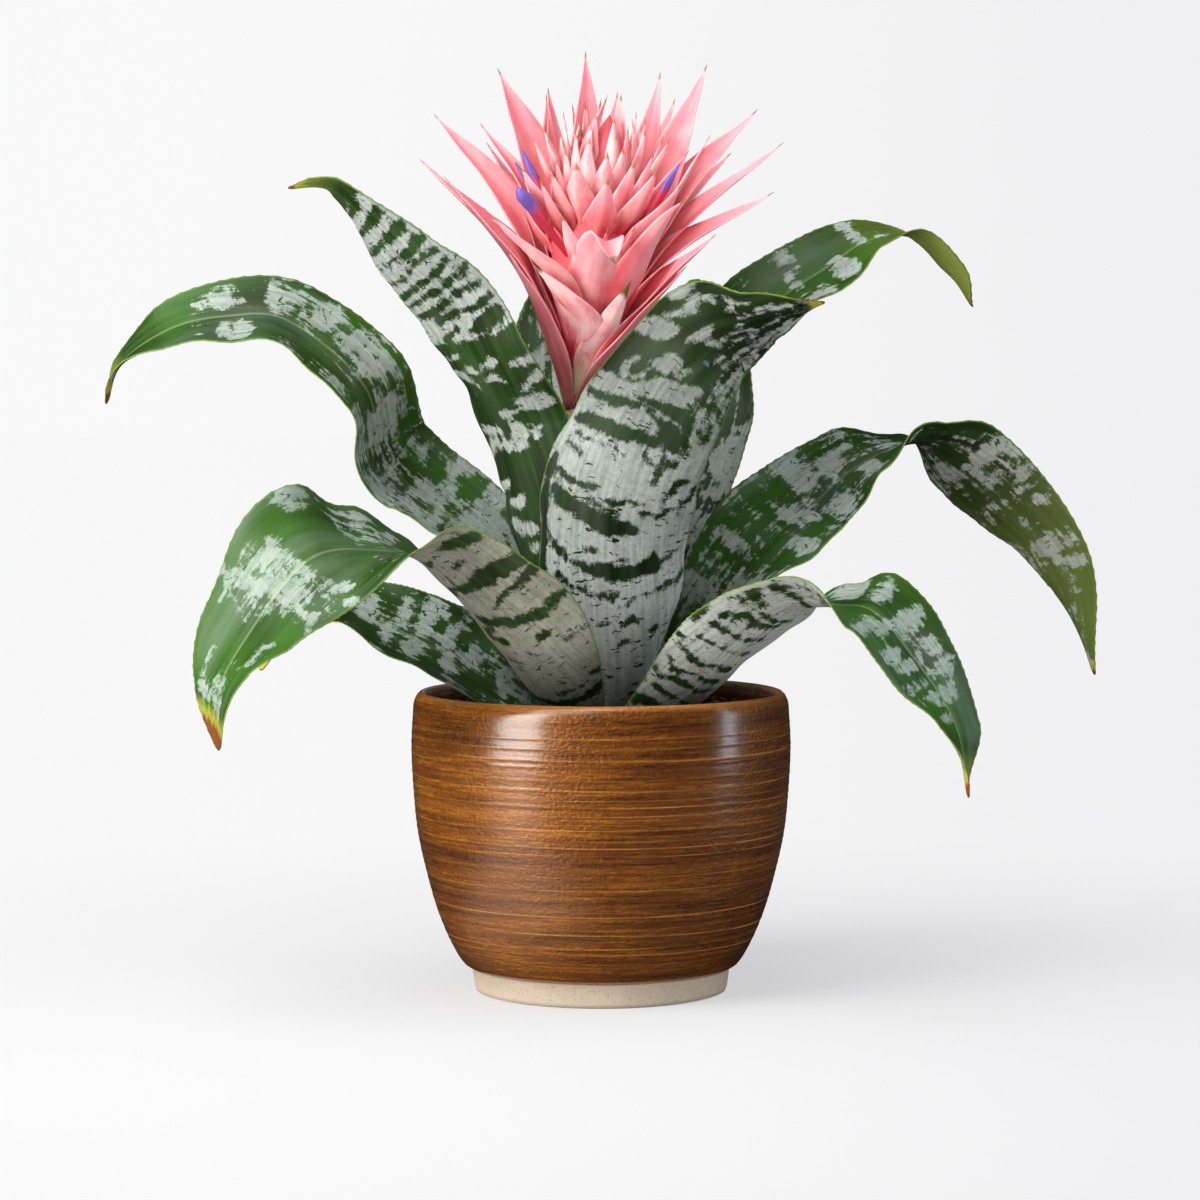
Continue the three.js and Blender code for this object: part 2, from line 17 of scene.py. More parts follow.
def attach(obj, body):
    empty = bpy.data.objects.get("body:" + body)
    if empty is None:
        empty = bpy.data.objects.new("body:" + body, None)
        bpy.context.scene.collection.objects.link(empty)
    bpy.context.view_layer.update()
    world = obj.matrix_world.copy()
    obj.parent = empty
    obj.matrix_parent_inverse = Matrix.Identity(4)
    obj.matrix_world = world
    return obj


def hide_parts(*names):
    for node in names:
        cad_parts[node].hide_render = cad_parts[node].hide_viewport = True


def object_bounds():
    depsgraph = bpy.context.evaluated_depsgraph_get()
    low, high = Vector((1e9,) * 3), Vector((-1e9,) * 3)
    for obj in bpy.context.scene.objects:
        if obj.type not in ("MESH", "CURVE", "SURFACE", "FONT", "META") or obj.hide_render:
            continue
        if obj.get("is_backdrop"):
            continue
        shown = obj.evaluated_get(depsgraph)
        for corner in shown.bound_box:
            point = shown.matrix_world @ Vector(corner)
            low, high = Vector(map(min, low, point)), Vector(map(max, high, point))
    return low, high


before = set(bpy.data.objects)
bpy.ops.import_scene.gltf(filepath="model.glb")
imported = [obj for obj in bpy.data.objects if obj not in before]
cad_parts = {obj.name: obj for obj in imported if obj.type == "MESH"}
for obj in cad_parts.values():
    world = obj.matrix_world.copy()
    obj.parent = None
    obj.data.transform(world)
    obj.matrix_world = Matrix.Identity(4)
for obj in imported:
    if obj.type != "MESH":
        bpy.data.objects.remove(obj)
cad_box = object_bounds()
MM = 0.001
FULL_TURN = 2 * math.pi
UP = Vector((0, 0, 1))
print("frame:", len(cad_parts), "solids, box", [[round(x / MM) for x in corner] for corner in cad_box])

# %% [markdown]
# ## Camera
# A long lens a good step away keeps the leaves from looking stretched. The lens sits a little
# above the middle of the plant and looks down by three and a half degrees, so the soil shows.

# %% Camera
LENS = 113.34                     # focal length on a 36 mm sensor
EYE = (-0.00045, -1.7, 0.280)
LOOK_DOWN = 3.484                 # degrees
lens_eye = bpy.data.cameras.new("camera")
lens_eye.sensor_width = 36
lens_eye.lens = LENS
lens_eye.clip_end = 100
camera = bpy.data.objects.new("camera", lens_eye)
camera.location = EYE
camera.rotation_euler = (math.radians(90 - LOOK_DOWN), 0, 0)
bpy.context.scene.collection.objects.link(camera)
bpy.context.scene.camera = camera
print("camera:", EYE, "lens", LENS)

# %% [markdown]
# ## Small tools for shaders
# A material is a tree of nodes. These helpers place one node each and join it to what feeds
# it, so the materials further down read almost like sentences.

# %% Helpers: nodes
def paint(code):
    """A colour from its screen code, as the linear values that Blender calculates with."""
    shares = [int(code[i:i + 2], 16) / 255 for i in (1, 3, 5)]
    return tuple(s / 12.92 if s <= 0.04045 else ((s + 0.055) / 1.055) ** 2.4 for s in shares) + (1.0,)


def feed(tree, socket, value):
    """Joins a socket to a node's output, or sets it to a plain value."""
    if isinstance(value, bpy.types.NodeSocket):
        tree.links.new(value, socket)
    elif value is not None:
        socket.default_value = value


def node(tree, kind, values=(), **settings):
    """Places a shader node, with its settings, and feeds its inputs in their order."""
    placed = tree.nodes.new("ShaderNode" + kind)
    for name, setting in settings.items():
        setattr(placed, name, setting)
    for socket, value in zip(placed.inputs, values):
        feed(tree, socket, value)
    return placed


def calc(tree, operation, first, second=None, third=None):
    """One sum: ADD, MULTIPLY, POWER and the like."""
    return node(tree, "Math", (first, second, third), operation=operation).outputs[0]


print("node helpers ready")

# %% Helpers: places and colours
def object_place(tree):
    """The place on the object, in metres."""
    return node(tree, "TexCoord").outputs["Object"]


def attribute(tree, name, kind="Vector"):
    """What the mesh carries at its points under that name: a vector, or one value with Fac."""
    return node(tree, "Attribute", attribute_name=name).outputs[kind]


def axes(tree, place):
    """The X, Y and Z of a place."""
    return node(tree, "SeparateXYZ", (place,)).outputs


def stretched(tree, place, scale, shift=(0, 0, 0)):
    """A place that is scaled along its three directions and then shifted."""
    return node(tree, "VectorMath", (place, scale, shift), operation="MULTIPLY_ADD").outputs[0]


def cloud(tree, place, scale=None, shift=(0, 0, 0), detail=2.0, roughness=0.5):
    """Soft noise around one half, with scale lumps to each metre along the three directions."""
    if scale:
        place = stretched(tree, place, scale, shift)
    made = node(tree, "TexNoise")
    for name, value in (("Vector", place), ("Scale", 1.0), ("Detail", detail), ("Roughness", roughness)):
        feed(tree, made.inputs[name], value)
    return made.outputs["Fac"]


def between(tree, value, low, high, start=0.0, end=1.0):
    """Goes smoothly from start to end as the value passes from low to high."""
    made = node(tree, "MapRange", (value, low, high, start, end), interpolation_type="SMOOTHSTEP")
    return made.outputs[0]


def blend(tree, share, first, second, blend_type="MIX"):
    """Mixes two colours by a share."""
    made = node(tree, "Mix", data_type="RGBA", blend_type=blend_type)
    for index, value in ((0, share), (6, first), (7, second)):
        feed(tree, made.inputs[index], value)
    return made.outputs[2]


print("place and colour helpers ready")

# %% Helpers: groups and materials
def new_group(name, inputs, outputs):
    """A shader node group: its tree, what comes in and what goes out."""
    tree = bpy.data.node_groups.new(name, "ShaderNodeTree")
    for label, kind, default in inputs:
        socket = tree.interface.new_socket(label, in_out="INPUT", socket_type="NodeSocket" + kind)
        socket.default_value = default
    for label, kind in outputs:
        tree.interface.new_socket(label, in_out="OUTPUT", socket_type="NodeSocket" + kind)
    entry = tree.nodes.new("NodeGroupInput")
    leaving = tree.nodes.new("NodeGroupOutput")
    return tree, entry.outputs, leaving.inputs


def use_group(tree, group, **values):
    """Places a group in a tree and feeds its named inputs."""
    placed = tree.nodes.new("ShaderNodeGroup")
    placed.node_tree = group
    for name, value in values.items():
        feed(tree, placed.inputs[name], value)
    return placed.outputs


def new_material(name, **constants):
    """A material with a Principled shader. Constants are set on the shader's own sockets."""
    material = bpy.data.materials.new(name)
    material.use_nodes = True
    shader = material.node_tree.nodes["Principled BSDF"]
    for label, value in constants.items():
        shader.inputs[label.replace("_", " ")].default_value = value
    return material, material.node_tree, shader


def relief(tree, shader, height, depth, strength=1.0):
    """Fine relief: a bump node that tilts the shader's normal."""
    bump = node(tree, "Bump")
    feed(tree, bump.inputs["Height"], height)
    bump.inputs["Distance"].default_value = depth
    bump.inputs["Strength"].default_value = strength
    feed(tree, shader.inputs["Normal"], bump.outputs["Normal"])


print("group helpers ready")

# %% [markdown]
# ## Small tools for meshes
# Each piece is one object at the origin with its place in its mesh. It rides on the only
# body and hides the solid it replaces, if there is one. Leaves and bracts are sheets of
# faces that get a live thickness, and round pieces are spun from a profile.

# %% Helpers: pieces
def finish_piece(mesh, name, materials, stands_for=None):
    """Makes the object of a finished bmesh, hangs it on the body and hides the solid it replaces."""
    for face in mesh.faces:
        face.smooth = True
    data = bpy.data.meshes.new(name)
    mesh.to_mesh(data)
    mesh.free()
    for material in materials:
        data.materials.append(material)
    piece = bpy.data.objects.new(name, data)
    bpy.context.scene.collection.objects.link(piece)
    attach(piece, "root")
    if stands_for:
        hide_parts(stands_for)
    print(name, "has", len(data.polygons), "faces")
    return piece


def smooth(t):
    """Eases from 0 to 1."""
    k = np.clip(t, 0, 1)
    return k * k * (3 - 2 * k)


def thicken(piece, thickness):
    """Gives a sheet of faces a live thickness, half of it to either side."""
    wall = piece.modifiers.new("thickness", "SOLIDIFY")
    wall.thickness = thickness * MM
    wall.offset = 0
    return wall


def thin_out(piece, wall, away, share, width):
    """Thins the wall to a share where the distance in that part of leaf_spot is small."""
    distances = [spot.vector[away] / MM for spot in piece.data.attributes["leaf_spot"].data]
    group = piece.vertex_groups.new(name="body")
    for index, distance in enumerate(distances):
        group.add([index], float(share + (1 - share) * smooth(distance / width)), "REPLACE")
    wall.vertex_group = group.name


print("piece helpers ready")

# %% Helpers: meshes
def line_of(mesh, points):
    """A chain of edges through points, ready to be spun."""
    corners = [mesh.verts.new(point) for point in points]
    return corners + [mesh.edges.new(pair) for pair in zip(corners, corners[1:])]


def spun(mesh, profile, steps):
    """Turns a profile of (radius, height), in millimetres, once round the Z axis."""
    chain = line_of(mesh, [(radius * MM, 0, height * MM) for radius, height in profile])
    bmesh.ops.spin(mesh, geom=chain, axis=UP, cent=(0, 0, 0), angle=FULL_TURN, steps=steps, use_merge=True)
    bmesh.ops.remove_doubles(mesh, verts=mesh.verts, dist=0.01 * MM)
    bmesh.ops.recalc_face_normals(mesh, faces=mesh.faces)


def new_layers(mesh, *names):
    """Vectors that the mesh carries at its points, for its finish to read."""
    return [mesh.verts.layers.float_vector.new(name) for name in names]


def polar(corner):
    """The angle, radius and height of a corner about the Z axis, the last two in millimetres."""
    x, y, z = corner.co
    return math.atan2(y, x), math.hypot(x, y) / MM, z / MM


print("mesh helpers ready")

# %% [markdown]
# ## Light and floor
# A high-key studio. A tall soft box stands on the left, close enough to draw a broad upright
# highlight on the glaze; a slimmer one on the right draws the second. A top light shapes the
# leaves and a weak fill from the front right opens their shadows. A bright room would fill
# every shadow, so the world and the floor look pale to the camera and give less light than
# they show. Both carry the same painted shade, a little greyer to the right away from the key
# light, so no horizon shows. The floor is stage.

# %% Lights
def soft_light(name, place, aim, size, power, colour, mirrored=True):
    """An area light that points at a place and may stay out of the glaze."""
    lamp = bpy.data.lights.new(name, "AREA")
    lamp.shape = "RECTANGLE"
    lamp.size, lamp.size_y = size
    lamp.energy = power
    lamp.color = colour
    made = bpy.data.objects.new(name, lamp)
    made.location = place
    made.rotation_euler = (Vector(aim) - Vector(place)).to_track_quat("-Z", "Y").to_euler()
    made.visible_glossy = mirrored
    bpy.context.scene.collection.objects.link(made)


soft_light("key_left", (-1.05, -0.84, 0.62), (0, 0, 0.22), (0.8, 1.24), 31, (1, 0.985, 0.955))
soft_light("strip_right", (1.28, -0.24, 0.55), (0, 0, 0.2), (0.3, 1.3), 6.5, (0.78, 0.88, 1))
soft_light("fill_right", (0.85, -1.15, 1.05), (0, 0, 0.25), (0.8, 0.8), 3.5, (1, 0.99, 0.97), mirrored=False)
soft_light("top", (-0.45, -0.55, 1.75), (0, 0, 0.2), (1.3, 1.3), 17, (1, 1, 1))
bpy.context.scene.view_settings.view_transform = "Standard"
print("lights:", [lamp.name for lamp in bpy.data.lights])

# %% Room
ROOM_SHOWN = 0.96                 # how pale the room looks
ROOM_LIGHT = 0.42                 # how much it lights the plant
ROOM_MIRRORED = 0.02              # how bright it is in the glaze
GREY_FROM = -0.12                 # sideways part of the line of sight, where the grey sets in
GREY_FULL = 0.2                   # and where it is full
world = bpy.data.worlds.new("studio")
bpy.context.scene.world = world
world.use_nodes = True
room = world.node_tree
path = node(room, "LightPath").outputs
backdrop = room.nodes["Background"]
sideways = axes(room, node(room, "TexCoord").outputs["Generated"])["X"]
# Painted shade: the room is a little greyer to the right, away from the key light.
pale = blend(room, between(room, sideways, GREY_FROM, GREY_FULL), paint("#fdfdfe"), paint("#f4f3f5"))
feed(room, backdrop.inputs["Color"], pale)
lit = calc(room, "MULTIPLY_ADD", path["Is Glossy Ray"], ROOM_MIRRORED - ROOM_LIGHT, ROOM_LIGHT)
shown = calc(room, "MULTIPLY", path["Is Camera Ray"], ROOM_SHOWN)
feed(room, backdrop.inputs["Strength"], calc(room, "MAXIMUM", lit, shown))
print("room: shown at", ROOM_SHOWN, "and lights with", ROOM_LIGHT)

# %% Floor: shape
floor_mesh = bmesh.new()
bmesh.ops.create_circle(floor_mesh, cap_ends=True, segments=96, radius=14)
floor_data = bpy.data.meshes.new("floor")
floor_mesh.to_mesh(floor_data)
floor_mesh.free()
floor = bpy.data.objects.new("floor", floor_data)
bpy.context.scene.collection.objects.link(floor)
floor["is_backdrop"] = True
print("floor: a disc of", len(floor_data.vertices), "corners")

# %% Floor: finish
NEAR_GLOW = 0.55                  # keeps the shadow beside the pot pale
TOWARD_KEY = (-0.743, -0.669, 0)  # over the floor from the pot to the key light
BESIDE_KEY = (0.669, -0.743, 0)   # square to that
floor_paint, tree, shader = new_material("pale_floor", Roughness=0.6, Specular_IOR_Level=0)
spot = object_place(tree)
pale = blend(tree, cloud(tree, spot, (3, 3, 3)), paint("#8b8b8c"), paint("#919192"))
away = node(tree, "VectorMath", (spot,), operation="LENGTH").outputs["Value"]
far_off = between(tree, away, 0.08, 0.60)
path = node(tree, "LightPath").outputs
seen, mirrored = path["Is Camera Ray"], path["Is Glossy Ray"]
# Painted reflection: in the glaze the floor is dark, with a pale pool painted toward the key light that draws
# the highlight low on the pot.
toward = node(tree, "VectorMath", (spot, TOWARD_KEY), operation="DOT_PRODUCT").outputs["Value"]
beside = node(tree, "VectorMath", (spot, BESIDE_KEY), operation="DOT_PRODUCT").outputs["Value"]
near_key = between(tree, calc(tree, "ABSOLUTE", beside), 0.14, 0.02)
painted_key_pool = calc(tree, "MULTIPLY", near_key, between(tree, toward, 0.05, 0.14))
painted_key_pool = blend(tree, painted_key_pool, paint("#33302d"), paint("#d8cfc4"))
dim = blend(tree, mirrored, paint("#cfcdca"), painted_key_pool)
near_paint = blend(tree, far_off, pale, (0, 0, 0, 1))
feed(tree, shader.inputs["Base Color"], blend(tree, seen, dim, near_paint))
from_eye = node(tree, "VectorMath", (spot, EYE), operation="SUBTRACT").outputs[0]
from_eye = node(tree, "VectorMath", (from_eye,), operation="NORMALIZE").outputs[0]
# The same painted shade on the floor, greyer to the right, so no horizon shows.
greyer = between(tree, axes(tree, from_eye)["X"], GREY_FROM, GREY_FULL)
feed(tree, shader.inputs["Emission Color"], blend(tree, greyer, paint("#fcfcfd"), paint("#f4f3f5")))
glow = calc(tree, "MULTIPLY_ADD", far_off, ROOM_SHOWN - NEAR_GLOW, NEAR_GLOW)
feed(tree, shader.inputs["Emission Strength"], calc(tree, "MULTIPLY", seen, glow))
floor_data.materials.append(floor_paint)
print("floor finish:", floor_paint.name)

# %% [markdown]
# ## Shared effects
# Four effects are used by several finishes, so each is a node group: cloudy blotches, fine
# fibres that run along a blade, ragged dry tips, and the silver scales of the leaves.
#
# The scales are what the plant is grown for. They sit in cross bands whose edges are torn along the
# veins, and tiny gaps in them show the green below. The bands are noise that is squeezed
# along the leaf, its place is pushed to and fro by a second noise that changes from fibre to
# fibre, and a threshold cuts out the bands. Where a leaf names its own bands, they come in
# with the level, which is the distance in millimetres to the edge of the silver.

# %% Shared effect: blotches
blotches, b_in, b_out = new_group(
    "blotches", [("Place", "Vector", (0, 0, 0)), ("Spread", "Float", 0.1)], [("Mask", "Float")])
soft = cloud(blotches, b_in["Place"], detail=4, roughness=0.6)
low = calc(blotches, "SUBTRACT", 0.5, b_in["Spread"])
high = calc(blotches, "ADD", 0.5, b_in["Spread"])
feed(blotches, b_out["Mask"], between(blotches, soft, low, high))
print("group:", blotches.name)

# %% Shared effect: fibres along a blade
FIBRE = 385                       # fibres to a metre, across the blade
fibres, f_in, f_out = new_group(
    "fibres", [("Place", "Vector", (0, 0, 0))], [("Mask", "Float"), ("Height", "Float")])
coarse = cloud(fibres, f_in["Place"], (FIBRE, 14, 1))
feed(fibres, f_out["Mask"], between(fibres, coarse, 0.3, 0.7))
feed(fibres, f_out["Height"], coarse)
print("group:", fibres.name)

# %% Shared effect: ragged dry tip
dry_tip, d_in, d_out = new_group(
    "dry_tip", [("Place", "Vector", (0, 0, 0)), ("Away", "Float", 0.1), ("Reach", "Float", 0.01)],
    [("Mask", "Float")])
torn = calc(dry_tip, "MULTIPLY", cloud(dry_tip, d_in["Place"], (700, 60, 1)), 0.8)
edge = calc(dry_tip, "ADD", calc(dry_tip, "DIVIDE", d_in["Away"], d_in["Reach"]), torn)
feed(dry_tip, d_out["Mask"], between(dry_tip, edge, 1.65, 1.2))
print("group:", dry_tip.name)

# %% Shared effect: silver scales, the torn level
scales, s_in, s_out = new_group(
    "silver_scales",
    [("Place", "Vector", (0, 0, 0)), ("Level", "Float", 0.0), ("Tear", "Float", 12.0),
     ("Wild", "Float", 1.0)],
    [("Mask", "Float"), ("Grain", "Float")])
place, tear = s_in["Place"], s_in["Tear"]


def unrest(scale, shift, size, detail=3.0):
    """Noise around zero, in millimetres."""
    soft = cloud(scales, place, scale, shift, detail=detail, roughness=0.6)
    return calc(scales, "MULTIPLY", calc(scales, "SUBTRACT", soft, 0.5), size)


ease = node(scales, "MapRange", (s_in["Wild"], 0.2, 0.6, 0.35, 1.0)).outputs[0]
torn = unrest((300, 26, 1), (0, 0, 0), calc(scales, "MULTIPLY", ease, tear))
wander = unrest((48, 40, 1), (7, 3, 1), calc(scales, "MULTIPLY", ease, 8.0))
fine_tear = calc(scales, "MULTIPLY", tear, 0.4)
feather = unrest((620, 55, 1), (2, 2, 2), calc(scales, "MULTIPLY", ease, fine_tear))
push = calc(scales, "ADD", calc(scales, "ADD", torn, wander), feather)
along = node(scales, "CombineXYZ", (0.0, calc(scales, "MULTIPLY", push, MM), 0.0)).outputs[0]
moved = node(scales, "VectorMath", (place, along), operation="ADD").outputs[0]
belts = cloud(scales, moved, (24, 100, 1), detail=3, roughness=0.55)
belts = calc(scales, "MULTIPLY", calc(scales, "MULTIPLY_ADD", belts, 22.0, -11.0), s_in["Wild"])
print("group:", scales.name, "with torn bands")

# %% Shared effect: silver scales, mask and grain
crumbs = unrest((330, 330, 1), (1, 8, 2), 1.0, 5.0)
lace = calc(scales, "MULTIPLY", crumbs, calc(scales, "MULTIPLY_ADD", ease, 6.0, 1.8))
grain = cloud(scales, place, (1300, 800, 1), detail=3, roughness=0.6)
level = calc(scales, "ADD", calc(scales, "ADD", s_in["Level"], push), calc(scales, "ADD", belts, lace))
level = calc(scales, "ADD", level, calc(scales, "MULTIPLY_ADD", grain, 3.0, -1.5))
silver = between(scales, level, -0.7, 1.25)
dash = cloud(scales, moved, (170, 560, 1), (3, 9, 4))
solid = calc(scales, "SUBTRACT", 1.0, between(scales, dash, 0.64, 0.675))
feed(scales, s_out["Mask"], calc(scales, "MULTIPLY", silver, solid))
strands = cloud(scales, place, (520, 32, 1), (6, 2, 8))
tone = calc(scales, "MULTIPLY_ADD", grain, 0.35, calc(scales, "MULTIPLY_ADD", strands, 0.6, 0.02))
feed(scales, s_out["Grain"], calc(scales, "MULTIPLY_ADD", crumbs, 0.4, tone))
print("group:", scales.name, "has", len(scales.nodes), "nodes")

# %% [markdown]
# ## Pot
# The real pot is thrown on a wheel. The potter's fingers leave thin ridges, where the brown
# glaze runs off and burns to orange, and shallow grooves, where it gathers and stays dark. The
# foot is left bare. A profile that is spun once round gives the wall; the ridges are moved in
# the mesh, each wandering a little as a hand does, and the glaze reads its height.

# %% Pot: profile
FOOT_RADIUS = 57.2
RIM_HEIGHT = 135.5
POT_FLOOR = 9
GLAZE_EDGE = 11.2                 # below this height the clay is bare
POT_OUTSIDE = [                   # radius and height
    (54.6, 0), (56.6, 0.6), (FOOT_RADIUS, 2.4), (58.2, 10.4), (59, 11), (62.8, 13.5), (67.9, 21.8),
    (74.2, 36.9), (79.2, 54.6), (83, 72.3), (84.9, 91.2), (85.8, 110.2), (85.3, 122.8), (84.4, 131),
    (83, 134.1),
]
FOOT_POINTS = 5                   # the first ones, which keep their corners
POT_LIP = [(81.2, RIM_HEIGHT), (79.4, 134.8), (78.4, 132.9)]
POT_INSIDE = [
    (78.6, 124), (79.3, 110.2), (78.6, 91.2), (76.7, 72.3), (73, 54.6), (68, 36.9), (61.5, 21.8),
    (56, 13), (50, POT_FLOOR),
]
print("pot wall runs over", len(POT_OUTSIDE), "heights, rim at", RIM_HEIGHT, "mm")

# %% Smooth curves
class Spine:
    """A smooth curve through stations, read by its share of the length."""

    def __init__(self, stations, samples=48):
        points = np.array([station[:3] for station in stations], float)
        ends = np.vstack([2 * points[0] - points[1], points, 2 * points[-1] - points[-2]])
        fine = []
        k = np.linspace(0, 1, samples, endpoint=False)[:, None]
        for p0, p1, p2, p3 in zip(ends, ends[1:], ends[2:], ends[3:]):
            d0, d1, d2 = (max(1e-6, np.linalg.norm(step)) ** 0.5 for step in (p1 - p0, p2 - p1, p3 - p2))
            start = ((p1 - p0) / d0 - (p2 - p0) / (d0 + d1) + (p2 - p1) / d1) * d1
            stop = ((p2 - p1) / d1 - (p3 - p1) / (d1 + d2) + (p3 - p2) / d2) * d1
            square = 3 * (p2 - p1) - 2 * start - stop
            cube = 2 * (p1 - p2) + start + stop
            fine.append(p1 + start * k + square * k ** 2 + cube * k ** 3)
        self.fine = np.vstack(fine + [points[-1:]])
        self.run = np.concatenate([[0], np.cumsum(np.linalg.norm(np.diff(self.fine, axis=0), axis=1))])
        self.length = self.run[-1]
        chords = np.linalg.norm(np.diff(points, axis=0), axis=1)
        self.marks = np.concatenate([[0], np.cumsum(chords)]) / chords.sum()

    def points(self, shares):
        """Points of the curve at shares of its length."""
        return np.stack([np.interp(shares * self.length, self.run, column) for column in self.fine.T], axis=1)

    def tangents(self, shares):
        """Directions of the curve there."""
        ahead = self.points(np.minimum(shares + 0.002, 1)) - self.points(np.maximum(shares - 0.002, 0))
        return ahead / np.linalg.norm(ahead, axis=1)[:, None]

    def eased(self, values, shares):
        """A value of each station, eased from one station to the next."""
        seat = np.clip(np.searchsorted(self.marks, shares), 1, len(self.marks) - 1)
        k = smooth((shares - self.marks[seat - 1]) / (self.marks[seat] - self.marks[seat - 1]))
        values = np.asarray(values, float)
        return values[seat - 1] + (values[seat] - values[seat - 1]) * k


def rounded(profile, count):
    """The profile as a smooth line with that many points."""
    line = Spine([(radius, 0, height) for radius, height in profile])
    return [(point[0], point[2]) for point in line.points(np.linspace(0, 1, count))]


print("the pot's wall is", round(Spine([(r, 0, z) for r, z in POT_OUTSIDE]).length), "mm long")

# %% Pot: finger ridges
THROWING_LINES = [                # heights
    121.6, 117.4, 112.6, 109.6, 103.8, 99.6, 95, 91.4, 88.2, 84, 81.3, 77.6, 74.6, 70.9, 68.2,
    64.6, 61.5, 58.6, 55.4, 52.3, 49.5, 46.8, 43.6, 40.9, 37.6, 34.4, 31.2, 28.3, 24.8, 21.2,
]
RIDGE = 0.15                      # how far a ridge stands out
GROOVE_BELOW = 0.06               # how deep the groove under it is
SUNK = 0.22                       # the wall lies that much lower than its profile
random.seed(4)
ridge_drift = [(random.uniform(0, FULL_TURN), random.uniform(0.4, 0.9), random.uniform(0.5, 1))
               for _ in THROWING_LINES]


def throwing_relief(angle, height):
    """How far the wall stands out at a place, in millimetres."""
    out = 0.0
    for line, (phase, drift, size) in zip(THROWING_LINES, ridge_drift):
        near = height - line - drift * math.sin(angle + phase)
        out += RIDGE * size * math.exp(-(near / 0.5) ** 2)
        out -= GROOVE_BELOW * size * math.exp(-((near + 1.6) / 1.2) ** 2)
    return out


print(len(THROWING_LINES), "ridges")

# %% Pot: thrown wall
SMOOTH_ABOVE = 131                # the rim has no ridges
pot_mesh = bmesh.new()
foot = POT_OUTSIDE[:FOOT_POINTS]
wall = rounded(POT_OUTSIDE[FOOT_POINTS - 1:], 210)[1:]
inner_wall = rounded(POT_LIP[-1:] + POT_INSIDE, 40)[1:]
lip = rounded([wall[-1]] + POT_LIP, 12)[1:]
spun(pot_mesh, [(0, 0), (30, 0), *foot, *wall, *lip, *inner_wall, (0, POT_FLOOR)], steps=200)
outside_radii, outside_heights = zip(*POT_OUTSIDE)
for corner in pot_mesh.verts:
    angle, radius, height = polar(corner)
    outside = radius > np.interp(height, outside_heights, outside_radii) - 2
    if outside and GLAZE_EDGE + 2 < height < SMOOTH_ABOVE:
        push = throwing_relief(angle, height) - SUNK
        fade = min(1, (SMOOTH_ABOVE - height) / 5)
        corner.co.xy *= 1 + push * fade / radius
print("pot wall:", len(pot_mesh.verts), "points")

# %% [markdown]
# The glaze is one material for the whole fired piece. Its height above the table says where
# the bare stoneware ends. Orange lines follow the ridges, and noise that is very tight in
# height and very loose round the pot breaks them and adds finer ones between them.

# %% Pot: brown glaze
glaze, tree, shader = new_material("glazed_clay", Specular_IOR_Level=0.85, Coat_IOR=1.7, Coat_Roughness=0.22)
shader.inputs["Specular Tint"].default_value = paint("#ffb878")
seat = object_place(tree)
height = axes(tree, seat)["Z"]
streaks = cloud(tree, seat, (22, 22, 620), (2, 5, 1), detail=4, roughness=0.6)
belts = cloud(tree, seat, (5, 5, 95), (1, 2, 6), detail=3)
dashes = cloud(tree, seat, (170, 170, 1500), detail=3, roughness=0.65)
speck = cloud(tree, seat, (700, 700, 1000), detail=3, roughness=0.7)
pools = use_group(tree, blotches, Place=stretched(tree, seat, (9, 9, 14)), Spread=0.22)["Mask"]
tone = calc(tree, "MULTIPLY_ADD", pools, 0.05, -0.025)
for noise_part, share in ((streaks, 0.40), (dashes, 0.28), (belts, 0.20), (speck, 0.12)):
    tone = calc(tree, "MULTIPLY_ADD", noise_part, share, tone)
brown = blend(tree, between(tree, tone, 0.39, 0.50), paint("#421e06"), paint("#703b03"))
brown = blend(tree, between(tree, tone, 0.50, 0.60), brown, paint("#a06008"))
hair = between(tree, cloud(tree, seat, (11, 11, 760), (3, 8, 5), detail=3), 0.57, 0.68)
brown = blend(tree, calc(tree, "MULTIPLY", hair, 0.3), brown, paint("#a0640f"))
# Painted shade: the glaze is darker towards +X, the side away from the key light.
sideways = between(tree, axes(tree, seat)["X"], -0.05, 0.05, 0, 0.44)
brown = blend(tree, sideways, brown, paint("#6b3a14"), "MULTIPLY")
# Painted shade: the glaze is darker towards the foot, where the wall turns down away from the light.
brown = blend(tree, between(tree, height, 0.085, 0.02, 0, 0.24), brown, paint("#6b3a1c"), "MULTIPLY")
broken = between(tree, cloud(tree, seat, (30, 30, 420), (9, 1, 2)), 0.40, 0.60)
ridges = between(tree, attribute(tree, "ridge", "Fac"), 0.25, 0.85)
burnt = calc(tree, "MULTIPLY", ridges, calc(tree, "MULTIPLY_ADD", broken, 0.5, 0.32))
brown = blend(tree, burnt, brown, paint("#cc8836"))
lip_share = between(tree, height, 0.1325, 0.1352, 0, 0.7)
brown = blend(tree, lip_share, brown, paint("#b2702c"))
print("glaze:", len(tree.nodes), "nodes")

# %% Pot: bare foot
GLAZE_LINE = GLAZE_EDGE * MM
dots = between(tree, cloud(tree, seat, (1100, 1100, 1100)), 0.56, 0.68)
clay = blend(tree, cloud(tree, seat, (60, 60, 60), detail=3), paint("#b3a594"), paint("#c6baaa"))
clay = blend(tree, calc(tree, "MULTIPLY", dots, 0.5), clay, paint("#8e7c63"))
uneven = calc(tree, "MULTIPLY_ADD", cloud(tree, seat, (60, 60, 60)), 0.0012, -0.0006)
ragged = calc(tree, "ADD", height, uneven)
glazed = between(tree, ragged, GLAZE_LINE - 0.0003, GLAZE_LINE + 0.0003)
feed(tree, shader.inputs["Base Color"], blend(tree, glazed, clay, brown))
feed(tree, shader.inputs["Roughness"], between(tree, glazed, 0, 1, 0.85, 0.38))
feed(tree, shader.inputs["Coat Weight"], calc(tree, "MULTIPLY", glazed, 0.9))
orange_peel = cloud(tree, seat, (560, 560, 760))
